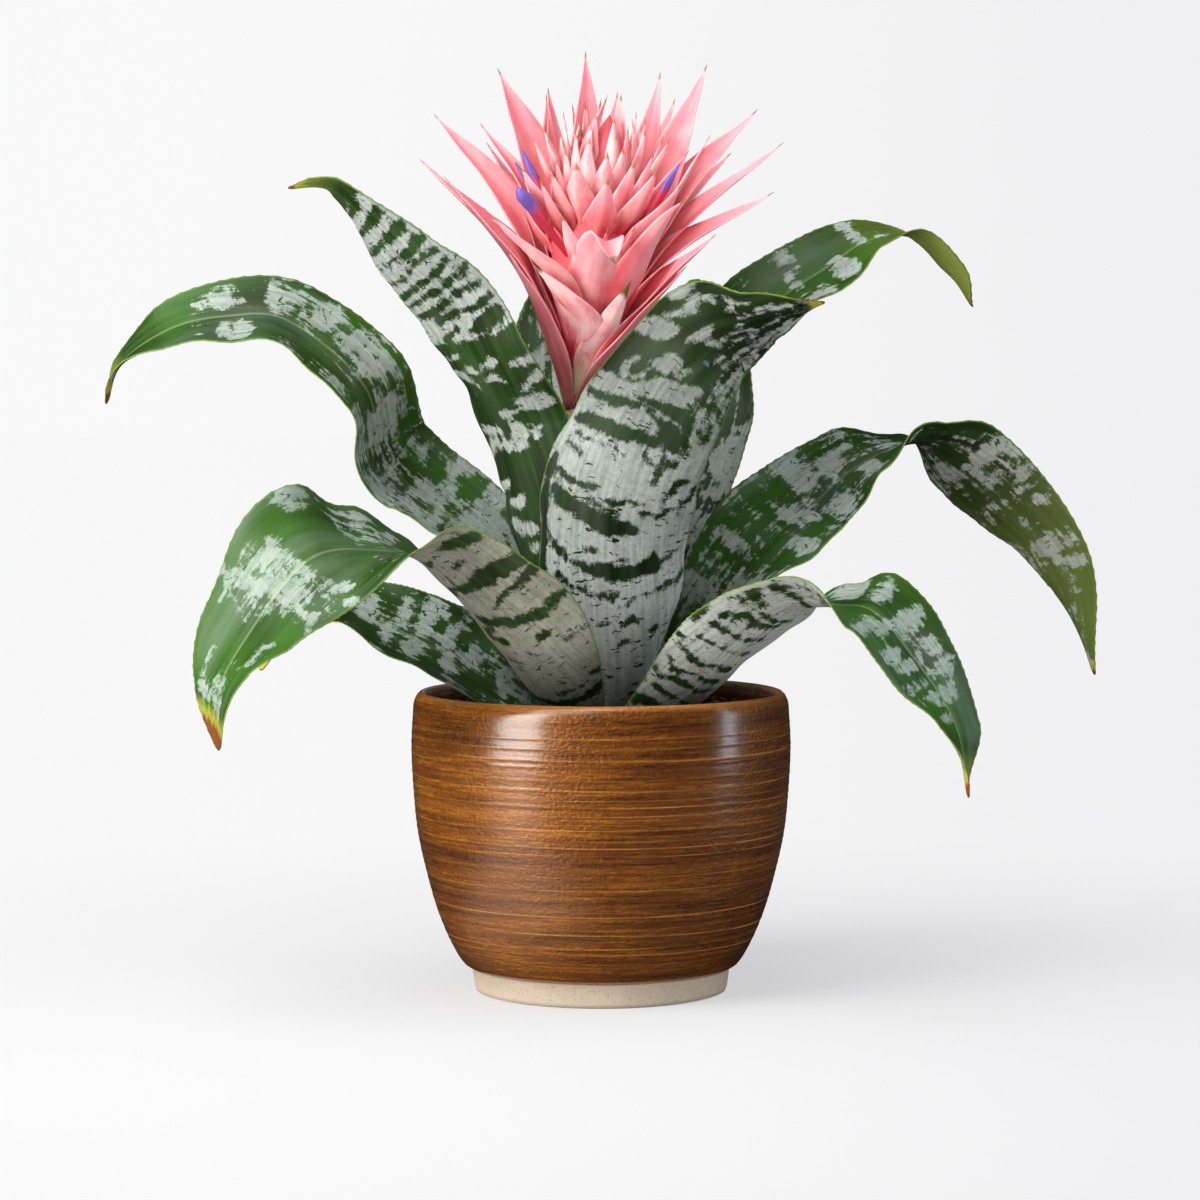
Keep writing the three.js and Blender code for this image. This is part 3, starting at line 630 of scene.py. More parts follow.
orange_peel = calc(tree, "MULTIPLY", orange_peel, calc(tree, "MULTIPLY_ADD", glazed, 0.8, 0.2))
relief(tree, shader, calc(tree, "ADD", orange_peel, calc(tree, "MULTIPLY", dashes, 0.15)), 0.001, 0.75)

ridge_layer = pot_mesh.verts.layers.float.new("ridge")
for corner in pot_mesh.verts:
    angle, radius, height = polar(corner)
    if height > GLAZE_EDGE:
        corner[ridge_layer] = max(0.0, throwing_relief(angle, height) / RIDGE)
finish_piece(pot_mesh, "thrown_pot", [glaze], "pot")

# %% [markdown]
# ## Soil
# Potting mix for an air plant is coarse: dark peat with crumbs and chips of bark. The body is
# spun like the pot, its top is roughened by noise, and a few hundred chips with only a few
# faces each are scattered on it.

# %% Soil: body
SOIL_TOP = 128
SOIL_RADIUS = 78.1
STEM_RADIUS = 27
STEM_FOOT = 92
STEM_TOP = 119.7
CLEAR = 0.3                       # gap between the soil and what it touches
HOLE_MOUTH = 47                   # radius where the soil begins to sink towards the stem
TOP_RINGS = 34
soil_side = [(radius - 0.5, z + CLEAR) for radius, z in reversed(POT_INSIDE) if z < SOIL_TOP]
ring_gap = (SOIL_RADIUS - HOLE_MOUTH) / TOP_RINGS
top_line = [(SOIL_RADIUS - i * ring_gap, SOIL_TOP) for i in range(TOP_RINGS + 1)]
slope_line = rounded([(HOLE_MOUTH, SOIL_TOP), (STEM_RADIUS + CLEAR, STEM_TOP - 1.5)], 18)[1:]
soil_mesh = bmesh.new()
spun(soil_mesh, [(0, POT_FLOOR + CLEAR), *soil_side, *top_line, *slope_line,
                 (STEM_RADIUS + CLEAR, STEM_FOOT - CLEAR), (0, STEM_FOOT - CLEAR)], steps=220)
for corner in soil_mesh.verts:
    _, radius, height = polar(corner)
    if height > 117 and STEM_RADIUS + 1 < radius < SOIL_RADIUS - 0.2:
        crumbs = noise.noise(corner.co * 420) * 1.1 + noise.noise(corner.co * 150) * 1.3
        corner.co.z += (crumbs - 0.6) * MM
print("soil:", len(soil_mesh.verts), "points")

# %% Soil: finish
soil_paint, tree, shader = new_material("peat", Specular_IOR_Level=0.25)
seat = object_place(tree)
crumb = cloud(tree, seat, (520, 520, 520), detail=5, roughness=0.7)
damp = use_group(tree, blotches, Place=stretched(tree, seat, (60, 60, 60)), Spread=0.2)["Mask"]
earth = blend(tree, between(tree, crumb, 0.35, 0.7), paint("#140d09"), paint("#3b271a"))
feed(tree, shader.inputs["Base Color"], blend(tree, damp, earth, paint("#1e140e")))
feed(tree, shader.inputs["Roughness"], between(tree, crumb, 0.3, 0.7, 0.75, 1.0))
relief(tree, shader, crumb, 0.0012)
finish_piece(soil_mesh, "soil_body", [soil_paint], "soil")

# %% Soil: chips of bark
CHIPS = 420
bark, tree, shader = new_material("bark_chip", Roughness=0.9)
seat = object_place(tree)
rings = cloud(tree, seat, (300, 300, 900), detail=4, roughness=0.7)
patch = cloud(tree, seat, (90, 90, 90))
wood = blend(tree, between(tree, patch, 0.4, 0.6), paint("#2a190f"), paint("#5f3f28"))
feed(tree, shader.inputs["Base Color"], blend(tree, rings, wood, paint("#7a5436"), "OVERLAY"))
relief(tree, shader, rings, 0.0008)

random.seed(11)
chips = bmesh.new()
for _ in range(CHIPS):
    turn = random.uniform(0, FULL_TURN)
    radius = math.sqrt(random.uniform(34 ** 2, 75 ** 2))
    lift = min(SOIL_TOP, STEM_TOP + (radius - STEM_RADIUS) * 0.41) + random.uniform(-0.6, 0.9)
    size = Vector((random.uniform(1.2, 3.6), random.uniform(0.8, 2.0), random.uniform(0.4, 1.1)))
    axis = Vector((random.uniform(-1, 1), random.uniform(-1, 1), 3)).normalized()
    tilt = Quaternion(axis, random.uniform(0, FULL_TURN))
    lean = Quaternion((1, 0, 0), random.uniform(-0.5, 0.5))
    place = Matrix.Translation(Vector((radius * math.cos(turn), radius * math.sin(turn), lift)) * MM)
    shape = place @ (tilt @ lean).to_matrix().to_4x4() @ Matrix.Diagonal((*(size * MM), 1))
    lump = bmesh.ops.create_icosphere(chips, subdivisions=1, radius=1, matrix=shape)
    for corner in lump["verts"]:
        corner.co += Vector([random.uniform(-0.25, 0.25) for _ in range(3)]) * MM
finish_piece(chips, "bark_chips", [bark])

# %% [markdown]
# ## Stem
# The leaves grow from a short woody stem that is almost hidden. It is a spun stub with the
# rings that fallen leaves leave behind.

# %% Stem
SCARRED_ABOVE = 101
stem_mesh = bmesh.new()
stub = [(STEM_RADIUS + 0.5 * math.sin(z * 1.6) - 0.5, z) for z in np.arange(SCARRED_ABOVE, STEM_TOP, 0.9)]
spun(stem_mesh, [(0, STEM_FOOT), (STEM_RADIUS - 5, STEM_FOOT), *stub,
                 (STEM_RADIUS - 0.6, STEM_TOP), (0, STEM_TOP)], steps=96)
stem_paint, tree, shader = new_material("stem_bark", Roughness=0.85)
scars = cloud(tree, object_place(tree), (60, 60, 500), detail=4)
feed(tree, shader.inputs["Base Color"], blend(tree, scars, paint("#3c2f1d"), paint("#85714a")))
relief(tree, shader, scars, 0.0008)
finish_piece(stem_mesh, "woody_stem", [stem_paint], "crown_stem")

# %% [markdown]
# ## Leaves
# A leaf of this plant is one leathery strap. Its base wraps the stem, it rises as a trough and
# then bends over and twists, and its margins are ruffled and carry tiny teeth. A straight
# strip of faces is made with the grid operator, and each of its points is then laid on the
# leaf: a spine gives the line, a roll turns the blade about it, and a cup angle bends the
# blade into a trough. That keeps the leaf on its solid, and every point knows how far along
# and how far across the leaf it is, which the silver bands need.

# %% Leaves: the blade formula
LEAF_ROWS = 250
LEAF_COLUMNS = 30


class Blade:
    """A leaf's rows: where each is, which way it faces and how wide it is. Millimetres."""

    def __init__(self, azimuth, width, spine, cup, wrap):
        path = Spine(spine)
        self.length = path.length
        self.share = np.linspace(0, 1, LEAF_ROWS + 1)
        self.centre = path.points(self.share)
        tangent = path.tangents(self.share)
        turn = math.radians(azimuth)
        across = np.array([-math.sin(turn), math.cos(turn), 0.0])
        roll = np.radians(path.eased([station[3] for station in spine], self.share))
        self.side = np.empty_like(tangent)
        for i, (ahead, angle) in enumerate(zip(tangent, roll)):
            across = across - ahead * across.dot(ahead)
            across /= np.linalg.norm(across)
            self.side[i] = across * math.cos(angle) + np.cross(ahead, across) * math.sin(angle)
        self.inward = np.cross(tangent, self.side)
        base = wrap * math.hypot(spine[0][0], spine[0][1])
        grow = smooth(self.share / 0.34)
        taper = np.maximum(0, 1 - self.share ** 2.4) ** 0.62
        self.half = np.maximum(0.9, (base + (width / 2 - base) * grow) * taper)
        steps = self.share * (len(cup) - 1)
        low = np.minimum(len(cup) - 2, steps.astype(int))
        cup = np.array(cup)
        self.bend = np.maximum(0.02, cup[low] + (cup[low + 1] - cup[low]) * smooth(steps - low))

    def point(self, row, u, extra=0.0, lift=0.0):
        """The point at u, -1 to 1 across the row, moved outwards by extra and off the blade by lift."""
        turn = u * self.bend[row]
        radius = self.half[row] / self.bend[row]
        sine, cosine = math.sin(turn), math.cos(turn)
        along_side = radius * sine + extra * cosine - lift * sine
        along_inward = radius * (1 - cosine) + extra * sine + lift * cosine
        return self.centre[row] + self.side[row] * along_side + self.inward[row] * along_inward


print("leaf grid:", LEAF_ROWS, "rows of", LEAF_COLUMNS)

# %% Leaves: ruffles, groove and teeth
TOOTH = 0.35                      # how far a tooth stands out of the margin
TOOTH_STEPS = (0.0, TOOTH, 0.12, 0.0)    # one tooth over four rows
GROOVE = 0.7
RUFFLE_LENGTH = 46
CALM_FROM = 0.87                  # share of the length where the ruffles die away to the tip


def surface_lift(leaf, blade, row, u):
    """Ruffles of the margins, the groove of the midrib and slight unevenness, in millimetres."""
    share = blade.share[row]
    along = share * blade.length
    aside = u * blade.half[row]
    if share < CALM_FROM:
        calm = math.sin(math.pi * min(1, share * 1.15)) ** 0.7
    else:
        calm = 0.6 * (1 - share) / (1 - CALM_FROM)
    phase = leaf["seed"] * 1.7 + (1.3 if u > 0 else 0)
    wave = math.sin(along / RUFFLE_LENGTH * FULL_TURN + phase)
    wave += 0.5 * math.sin(along / RUFFLE_LENGTH * FULL_TURN * 1.9 + phase * 2.3)
    ruffle = leaf["ruffle"] * calm * abs(u) ** 2.2 * wave
    groove = GROOVE * smooth(share / 0.3) * (1 - share) ** 0.3 * math.exp(-(aside / 1.9) ** 2)
    uneven = 0.5 * calm * noise.noise(Vector((aside / 18, along / 30, leaf["seed"] * 5.3)))
    return ruffle - groove + uneven


def tooth(row, u):
    """Margin teeth point outwards and a little up the leaf."""
    if abs(u) < 0.999:
        return 0.0
    return math.copysign(TOOTH_STEPS[row % len(TOOTH_STEPS)], u)


print("teeth stand", TOOTH, "mm out of the margin")

# %% Leaves: cutting the foot
LEAF_SEAT = 120                   # height where the leaves sit on the stem
SEAT_REACH = 31                   # and how far out they do


def cut_foot(mesh):
    """Cuts the foot of a blade level, above the stem."""
    near = []
    for face in mesh.faces:
        middle = face.calc_center_median()
        if middle.z < (LEAF_SEAT + 4) * MM and middle.xy.length < SEAT_REACH * MM:
            near.append(face)
    edges = {edge for face in near for edge in face.edges}
    corners = {corner for face in near for corner in face.verts}
    seat = UP * LEAF_SEAT * MM
    bmesh.ops.bisect_plane(mesh, geom=[*near, *edges, *corners], plane_co=seat, plane_no=UP, clear_inner=True)


print("leaves are cut level at", LEAF_SEAT, "mm")

# %% Leaves: one mesh
LEAF_THICKNESS = 1.0


def across_share(x):
    """Spreads the columns so that they are closer together near the margins."""
    return math.sin(1.25 * x) / math.sin(1.25)


def curve(stations, at):
    """The value of a list of (place, value) at a place, or at each of many."""
    return np.interp(at, *zip(*stations))


def grow_leaf(name, leaf, materials):
    """Lays a grid on the leaf's blade and gives it its thickness."""
    blade = Blade(leaf["azimuth"], leaf["width"], leaf["spine"], leaf["cup"], leaf["wrap"])
    mesh = bmesh.new()
    bmesh.ops.create_grid(mesh, x_segments=LEAF_COLUMNS, y_segments=LEAF_ROWS, size=1)
    flat, spot, cover, tone = new_layers(mesh, "flat_place", "leaf_spot", "cover", "leaf_tone")
    ripe = mesh.verts.layers.float.new("ripe")
    darker_green = mesh.verts.layers.float.new("darker_green")
    columns = [across_share(i / LEAF_COLUMNS * 2 - 1) for i in range(LEAF_COLUMNS + 1)]
    along_grid, u_grid = np.broadcast_arrays((blade.share * blade.length)[:, None], columns)
    outer, inner = (silver_depth(leaf, face, along_grid, u_grid, blade.half[:, None])
                    for face in ("outer", "inner"))
    for corner in mesh.verts:
        row = round((corner.co.y + 1) / 2 * LEAF_ROWS)
        column = round((corner.co.x + 1) / 2 * LEAF_COLUMNS)
        u = across_share(corner.co.x)
        half = blade.half[row]
        share = blade.share[row]
        along = share * blade.length
        to_tip = blade.length - along
        corner[flat] = Vector((u * half, along, 0)) * MM + Vector((0, 0, leaf["seed"] * 3.7))
        corner[spot] = Vector((share, (1 - abs(u)) * half * MM, to_tip * MM))
        corner[cover] = Vector((outer[row, column], inner[row, column], leaf["wild"]))
        corner[tone] = Vector((leaf["dry"], float(curve(leaf["silver_and_shade"], along)), leaf["painted_warm_bounce"]))
        corner[darker_green] = leaf["darker_green"]
        corner[ripe] = float(curve(leaf["ripe"], to_tip))
        corner.co = Vector(blade.point(row, u, tooth(row, u), surface_lift(leaf, blade, row, u))) * MM
    cut_foot(mesh)
    piece = finish_piece(mesh, name + "_blade", materials, name)
    wall = thicken(piece, LEAF_THICKNESS)
    wall.material_offset = 1
    wall.material_offset_rim = 2
    thin_out(piece, wall, away=1, share=0.45, width=2.2)


print("leaf thickness", LEAF_THICKNESS, "mm")

# %% [markdown]
# The two faces of a leaf differ. The outer one, which the trough shows to the viewer, is grey
# with scales broken by dark cross bands. The inner one is a glossier green with streaky
# patches of silver. So the thickness modifier gives the second face a material of its own, and
# the thin margin a third, yellow green one. How much silver there is at each point comes from
# the mesh: more near the base, less near the tip, and the marks that each leaf names.

# %% Leaves: how much silver
SILVER_LIMIT = 6                  # deeper than this makes no difference
LACE_DEPTH = 0.4                  # so thin that noise breaks it up


def off_oval(mark, along, u, half):
    """Millimetres from each point to the edge of an oval mark, negative inside it."""
    place, thick, across, reach, slant = (*mark, 0)[:5]
    off = np.hypot((along - place - slant * u) / (thick / 2), (u - across) / reach)
    return (off - 1) * np.minimum(thick / 2, reach * half)


def off_stroke(stroke, along, across):
    """The same for a brush stroke through stations of (along, across, thickness)."""
    nearest = np.full(along.shape, 9.0)
    for (a, c, thick), (a_next, c_next, thick_next) in zip(stroke, stroke[1:]):
        ahead, aside = a_next - a, c_next - c
        k = np.clip(((along - a) * ahead + (across - c) * aside) / (ahead ** 2 + aside ** 2), 0, 1)
        middle_off = np.hypot(along - a - k * ahead, across - c - k * aside)
        nearest = np.minimum(nearest, middle_off - (thick + (thick_next - thick) * k) / 2)
    return nearest


def silver_depth(leaf, face, along, u, half):
    """How deep in the silver each point of one face is, in millimetres, negative on the green."""
    level = curve(leaf[face], along)
    for mark in leaf.get(face + "_dark", []):
        level = np.minimum(level, off_oval(mark, along, u, half))
    for mark in leaf.get(face + "_silver", []):
        level = np.maximum(level, -off_oval(mark, along, u, half))
    for mark in leaf.get(face + "_lace", []):
        level = np.maximum(level, np.minimum(-off_oval(mark, along, u, half), LACE_DEPTH))
    for stroke in leaf.get(face + "_patches", []):
        level = np.maximum(level, -off_stroke(stroke, along, u * half))
    for stroke in leaf.get(face + "_bars", []):
        level = np.minimum(level, off_stroke(stroke, along, u * half))
    return np.clip(level, -SILVER_LIMIT, SILVER_LIMIT)


print("the silver is drawn with ovals and brush strokes")

# %% Leaves: flesh, silver and tips
def leaf_flesh(tree, place, fibre_mask, deep, lively, film, film_share):
    """The green of a leaf, with fibres, a darker grey green where a leaf asks for it, yellowing and a thin
    grey film in streaks.
    """
    shade = cloud(tree, place, (30, 22, 1), (4, 4, 2), detail=3)
    green = blend(tree, between(tree, shade, 0.35, 0.65), deep, lively)
    green = blend(tree, calc(tree, "MULTIPLY", fibre_mask, 0.14), green, paint("#5b8536"))
    green = blend(tree, attribute(tree, "darker_green", "Fac"), green, paint("#5a6a4a"), "MULTIPLY")
    green = blend(tree, attribute(tree, "ripe", "Fac"), green, paint("#9dac4a"))
    streaks = between(tree, cloud(tree, place, (70, 12, 1), detail=3), 0.45, 0.7)
    return blend(tree, calc(tree, "MULTIPLY", streaks, film_share), green, film)


def leaf_edges(tree, skin, place, share, rim, to_tip, dry, rib_share):
    """The skin with its midrib, its pale margin, painted shade at its foot and its dry tip."""
    off_rib = calc(tree, "ABSOLUTE", axes(tree, place)["X"])
    rib = calc(tree, "MULTIPLY", between(tree, off_rib, 0.0003, 0.0011, 1, 0),
               between(tree, share, 0.25, 0.5, 0, rib_share))
    skin = blend(tree, rib, skin, paint("#9fb183"))
    skin = blend(tree, between(tree, rim, 0.0009, 0.0003, 0, 0.7), skin, paint("#5c7d28"))
    # Painted shade: the leaf darkens towards its foot, deep in the rosette.
    skin = blend(tree, between(tree, share, 0.02, 0.27, 0.6, 0), skin, paint("#4c5238"), "MULTIPLY")
    reach = calc(tree, "MULTIPLY", dry, MM)
    beyond = calc(tree, "ADD", reach, 0.005)
    yellow = use_group(tree, dry_tip, Place=place, Away=to_tip, Reach=beyond)["Mask"]
    skin = blend(tree, calc(tree, "MULTIPLY", yellow, 0.75), skin, paint("#a9a53a"))
    brown = use_group(tree, dry_tip, Place=place, Away=to_tip, Reach=reach)["Mask"]
    return blend(tree, brown, skin, paint("#7b4520"))


print("leaf colour helpers ready")

# %% Leaves: finishes
def leaf_finish(name, tear, greens, silvers, gloss, sheen, film_share, rib_share):
    """A leaf face: green flesh, silver scales, a pale margin and a dry tip."""
    outer = name == "leaf_outer_face"
    material, tree, shader = new_material(name, IOR=1.42, Specular_IOR_Level=sheen)
    place = attribute(tree, "flat_place")
    share, rim, to_tip = axes(tree, attribute(tree, "leaf_spot"))
    outer_level, inner_level, wild = axes(tree, attribute(tree, "cover"))
    dry, silver_and_shade, painted_warm_bounce = axes(tree, attribute(tree, "leaf_tone"))
    level = outer_level if outer else inner_level
    if not outer:
        wild = calc(tree, "MAXIMUM", wild, 0.5)
    fibre = use_group(tree, fibres, Place=place)
    scale = use_group(tree, scales, Place=place, Level=level, Tear=tear, Wild=wild)
    green = leaf_flesh(tree, place, fibre["Mask"], *greens, silvers[0], film_share)
    silver = blend(tree, between(tree, scale["Grain"], 0.3, 0.7), *silvers)
    # Painted light: the outer silver is tinted cream, as warm light bounced up from the pot.
    if outer:
        silver = blend(tree, painted_warm_bounce, silver, paint("#efe0c8"), "MULTIPLY")
    # The silver's opacity along the leaf is lowered in places as painted shade, near the foot and where a
    # leaf lies in shade.
    skin = blend(tree, calc(tree, "MULTIPLY", scale["Mask"], silver_and_shade), green, silver)
    skin = leaf_edges(tree, skin, place, share, rim, to_tip, dry, rib_share)
    feed(tree, shader.inputs["Base Color"], skin)
    feed(tree, shader.inputs["Roughness"], between(tree, scale["Mask"], 0, 1, gloss, 0.62))
    scurf = calc(tree, "MULTIPLY_ADD", scale["Mask"], 0.25, scale["Grain"])
    bumps = calc(tree, "MULTIPLY_ADD", fibre["Height"], 0.5, scurf)
    relief(tree, shader, bumps, 0.00022, 0.35)
    return material


outer_face = leaf_finish(
    "leaf_outer_face", tear=9.0, greens=(paint("#101e09"), paint("#1e3811")),
    silvers=(paint("#8b928c"), paint("#b6bcb8")), gloss=0.46, sheen=0.2, film_share=0.08, rib_share=0.0)
inner_face = leaf_finish(
    "leaf_inner_face", tear=12.0, greens=(paint("#183009"), paint("#2b5410")),
    silvers=(paint("#89968c"), paint("#aebab2")), gloss=0.4, sheen=0.3, film_share=0.14, rib_share=0.24)
print("leaf finishes:", outer_face.name, inner_face.name)

# %% Leaves: margin
MARGIN_DRY = 0.012
margin, tree, shader = new_material("leaf_margin", Roughness=0.45)
place = attribute(tree, "flat_place")
to_tip = axes(tree, attribute(tree, "leaf_spot"))["Z"]
thin_edge = blend(tree, cloud(tree, place, (60, 60, 1), detail=3), paint("#456520"), paint("#8c9c40"))
browned = use_group(tree, dry_tip, Place=place, Away=to_tip, Reach=MARGIN_DRY)["Mask"]
feed(tree, shader.inputs["Base Color"], blend(tree, browned, thin_edge, paint("#7b4520")))
print("margin finish:", margin.name)

# %% [markdown]
# Fourteen straps make the rosette. Each has its azimuth, its full width and the stations of its
# spine, as X, Y, Z and roll. The silver is drawn on the blade laid flat, in millimetres from the
# foot and from the midrib: bars are dark strokes, patches silver ones, and each station of a
# stroke is (along, across, thickness). Ovals are (along, thickness, across, reach), where across
# and reach are shares of the half width, and a fifth number slants them. Lace is an oval that is
# so thin in silver that noise breaks it up. What a leaf leaves out is as usual.

# %% Leaves: what is usual
USUAL = dict(
    wrap=0.8,                           # how far the foot reaches round the stem
    ruffle=1.0,                         # how high the margins wave
    dry=3,                              # length of the dry tip
    ripe=[(0, 0.8), (22, 0)],           # yellowing by the distance from the tip
    painted_warm_bounce=0, darker_green=0.0,                    # painted warm bounce light in the silver, darker grey in the green
    wild=1.0,                           # size of the bands that noise makes on its own
    silver_and_shade=[(0, 1), (300, 0.9)],         # how opaque the silver is along the leaf, lowered in places as painted shade
    outer=[(0, 4), (120, 1), (250, -2)], inner=[(0, 3), (80, 0), (160, -1), (250, -3)])
LEAVES = {}
print("usual dry tip:", USUAL["dry"], "mm")

# %% Leaves: tall front
LEAVES["leaf_01_front_tall"] = dict(
    azimuth=285, width=82, cup=[0.8, 1.05, 0.75, 0.45, 0.35],
    spine=[
        (4, -15, 119.5, 0), (7, -25, 142, -11), (6, -34, 171, -16), (4, -43, 211, -20),
        (14, -50, 248, -24), (33, -48, 281, -34), (46, -53, 294, -18), (71, -68, 301, 16),
        (96, -74, 309, 48)],
    dry=1, ripe=[(0, 0.8), (8, 0)], darker_green=0.6, wild=0.22,
    silver_and_shade=[
        (0, 0.8), (60, 1), (80, 0.9), (100, 0.72), (130, 0.7), (153, 0.44), (175, 0.38), (200, 0.55),
        (225, 0.85), (250, 1)],
    outer=[(0, 4), (150, 4), (156, -3), (205, -3.6), (225, -1.6), (250, -1)],
    outer_bars=[
        [(42, 1, 1.5), (44, 4, 3), (43, 8, 1.5)], [(51, -8, 1.5), (52, -2, 2)],
        [(51, 3, 1.5), (54, 8, 3.5), (51, 11, 1.5)], [(48, 19, 2), (46, 16, 1.5)],
        [(61, 1, 2), (65, 0, 3.5), (66, 3, 2)], [(66, -9, 1.8), (65, -5, 2), (66, -1, 1.8)],
        [(61, 6, 1.6), (64, 9, 2), (64, 14, 1.4), (65, 20, 1.6), (67, 26, 2), (66, 31, 2), (70, 36, 1.6)],
        [(74, -25, 2.4), (70, -19, 2.8), (68, -13, 3)],
        [(89, -30, 1.8), (85, -26, 3.2), (83, -21, 3.2), (80, -16, 2.2)],
        [(80, -16, 2.2), (78.5, -11, 3.4), (77, -6, 4.8), (77, -1, 5.5), (74.5, 2, 6.5), (75, 8, 7),
         (76, 13, 6), (77, 20, 7)], [(77, 20, 4), (82, 20, 3.4)],
        [(79, 26, 1.8), (83, 32, 1.8), (84, 37, 1.4)], [(81, 3, 1.2), (81, 8, 1.8)],
        [(85.5, -9, 1.8), (85.5, -7, 1.8)], [(106, -9, 2), (104, -3, 2.2), (103, 3, 1.8)],
        [(107, -29, 5), (104, -24, 7.5), (102.5, -18, 8), (100.5, -12, 7), (99, -6, 8.5), (97, 0, 8),
         (97, 6, 7.5), (95.5, 10, 5)], [(114, -29, 2), (112, -24, 2.2), (111, -18, 1.6), (112, -11, 2.2)],
        [(108, -4, 1.8), (107, 0, 2), (110, 6, 2.2), (109, 12, 1.6)],
        [(105, 13, 3.2), (106, 17, 2.4), (103, 20, 1.8), (108, 23, 2.6), (110, 26, 2.6)],
        [(113, 21, 2.2), (118, 23.5, 2.8), (124, 25, 2.8), (127, 29, 2.2)],
        [(107, 29, 1.8), (114, 28, 2.2), (116, 33, 2), (124, 35, 2)],
        [(125, -30, 2.8), (124.5, -25, 3.2), (123.5, -21, 2.6)],
        [(130, -27, 1.8), (129.5, -20, 2.2), (130, -13, 2.2)], [(131, -8, 1.6), (129, -1, 2.2)],
        [(134, 6, 1.8), (131, 8, 3.6), (129, 11, 1.8)],
        [(136, -30, 3), (137.5, -25, 6), (138, -18, 6), (138, -10, 7), (138, -4, 6), (141, 1, 3.6),
         (138.5, 5, 4), (140, 9, 4)],
        [(148, -30, 2.8), (148, -24, 4.4), (148.5, -16, 5), (150.5, -9, 4.4), (152.5, -2, 2.8),
         (150, 3, 2.2), (149, 7, 2.2)], [(142, 9, 4), (147, 11, 8), (145, 14, 8), (142, 17, 5)],
        [(146, 19.5, 3), (153, 18.5, 2.6), (160, 16, 2.6), (170, 17, 3)], [(156, 8, 3), (156.5, 13, 2.2)],
        [(120, 14.5, 1.6), (126, 15, 1.6), (134, 16, 1.6)], [(131, 19, 2), (134, 21, 1.6)],
        [(141, 23, 2.2), (147, 21.5, 1.6)], [(150, 27, 1.6), (160, 26.5, 1.4)],
        [(76, -35.5, 5), (95, -35, 5.5), (110, -34.5, 6), (118, -33.5, 4)],
        [(181, -25, 1.4), (184, -18, 1.6), (189, -10, 2)]],
    # The long lengthwise strokes toward the tip, over the right half, are partly painted sheen: silver drawn
    # where bluish light reflects along that side.
    outer_patches=[
        [(154, -28, 7), (154, -20, 7), (155, -13, 7), (158, -8, 7), (161, -2, 10), (163, 5, 11),
         (166, 11, 12), (169, 14, 8)], [(160, -19, 3), (164, -21, 3.6), (168, -18, 3)],
        [(161, -14, 3), (163, -11, 3.6), (168, -12, 2.6), (170, -10, 2)],
        [(170, -8, 4), (173, -4, 9), (176, -1, 5)], [(171, 3, 1.6), (174, 5, 1.8), (179, 6, 2)],
        [(176, -28, 4), (179, -21, 6.5), (182, -14, 6.5), (186, -11, 3)],
        [(190, -26, 4), (193, -22, 4), (197, -24, 3)],
        [(185, -19, 2.6), (188, -15, 5), (194, -14, 5), (196, -18, 4)], [(200, -16, 3), (204, -14, 3)],
        [(203, -17, 1.6), (213, -15, 1.6)], [(207, -9, 2), (212, -11, 3), (213, -8, 1.6)],
        [(211, -13, 2), (217, -13, 3), (222, -12, 1.6)], [(217, -6, 3), (223, -8, 3), (229, -9, 1.6)],
        [(186, -4, 2.6), (192, -2, 6), (198, -3, 2)], [(192, 2, 2), (197, 5, 2.6), (203, 3, 1.6)],
        [(204, 2, 1.6), (210, 1, 2), (216, 2, 1.4)], [(209, -1, 1.4), (219, -4, 1.4)],
        [(184, 9, 2), (190, 11, 2), (195, 10.5, 1.2)],
        [(200, 14, 2), (206, 11, 1.6), (213, 7, 1.6), (222, 2, 1.6)],
        [(175, 20.5, 1.6), (185, 22, 1.4), (190, 22.5, 1.2)], [(180, 27, 2), (195, 24, 2), (208, 18, 2)],
        [(116, 30, 19), (136, 29, 15)], [(130, 23, 4), (160, 20, 2.6), (186, 18, 1)],
        [(128, 28, 6), (160, 24, 3), (192, 22, 1)], [(128, 33, 5), (165, 29, 2.6), (200, 22, 1.2)],
        [(150, 35, 3), (186, 31, 1.2)],
        [(158, 27, 4), (178, 24, 3), (199, 20, 3), (216, 12, 3), (232, 6, 2)],
        [(160, 15, 2), (172, 19, 2.4), (188, 22, 2)], [(190, 16, 1.4), (206, 13, 2), (222, 8, 1.6)],
        [(200, 8, 1.4), (214, 4, 2), (228, 1, 1.6)], [(212, -5, 1.6), (224, -6, 2), (236, -6, 2)],
        [(214, 17, 2), (228, 11, 2.4), (242, 6, 2)]])
print(len(LEAVES), "leaves described")

# %% Leaves: upper right
LEAVES["leaf_02_upper_right"] = dict(
    azimuth=10, width=66, cup=[0.8, 0.9, 0.6, 0.4, 0.4],
    spine=[
        (11.8, 2, 119.5, 0), (18, 3, 150, 7), (28, 4, 194, 15), (39, 12, 244, 23), (54, 21, 279, 31),
        (79, 31, 310, 40), (105, 39, 328, 43), (122, 44, 339, 30), (142, 51, 342, 14), (161, 60, 327, 10),
        (174, 76, 310, 40)],
    dry=4, painted_warm_bounce=0.5, ripe=[(0, 1), (45, 0.75), (60, 0.2), (90, 0)], wild=0.5,
    outer=[(0, 2), (150, -1), (230, -1.5), (290, -4)], inner=[(0, 2), (150, 0.6), (210, -1), (265, -4)],
    inner_silver=[
        (205, 12, -0.3, 0.5), (226, 15, -0.7, 0.22), (244, 12, -0.4, 0.42), (228, 8, 0.75, 0.2),
        (260, 6, 0.5, 0.45), (269, 5, 0.1, 0.3), (222, 5, 0.1, 0.25)])
print(len(LEAVES), "leaves described")

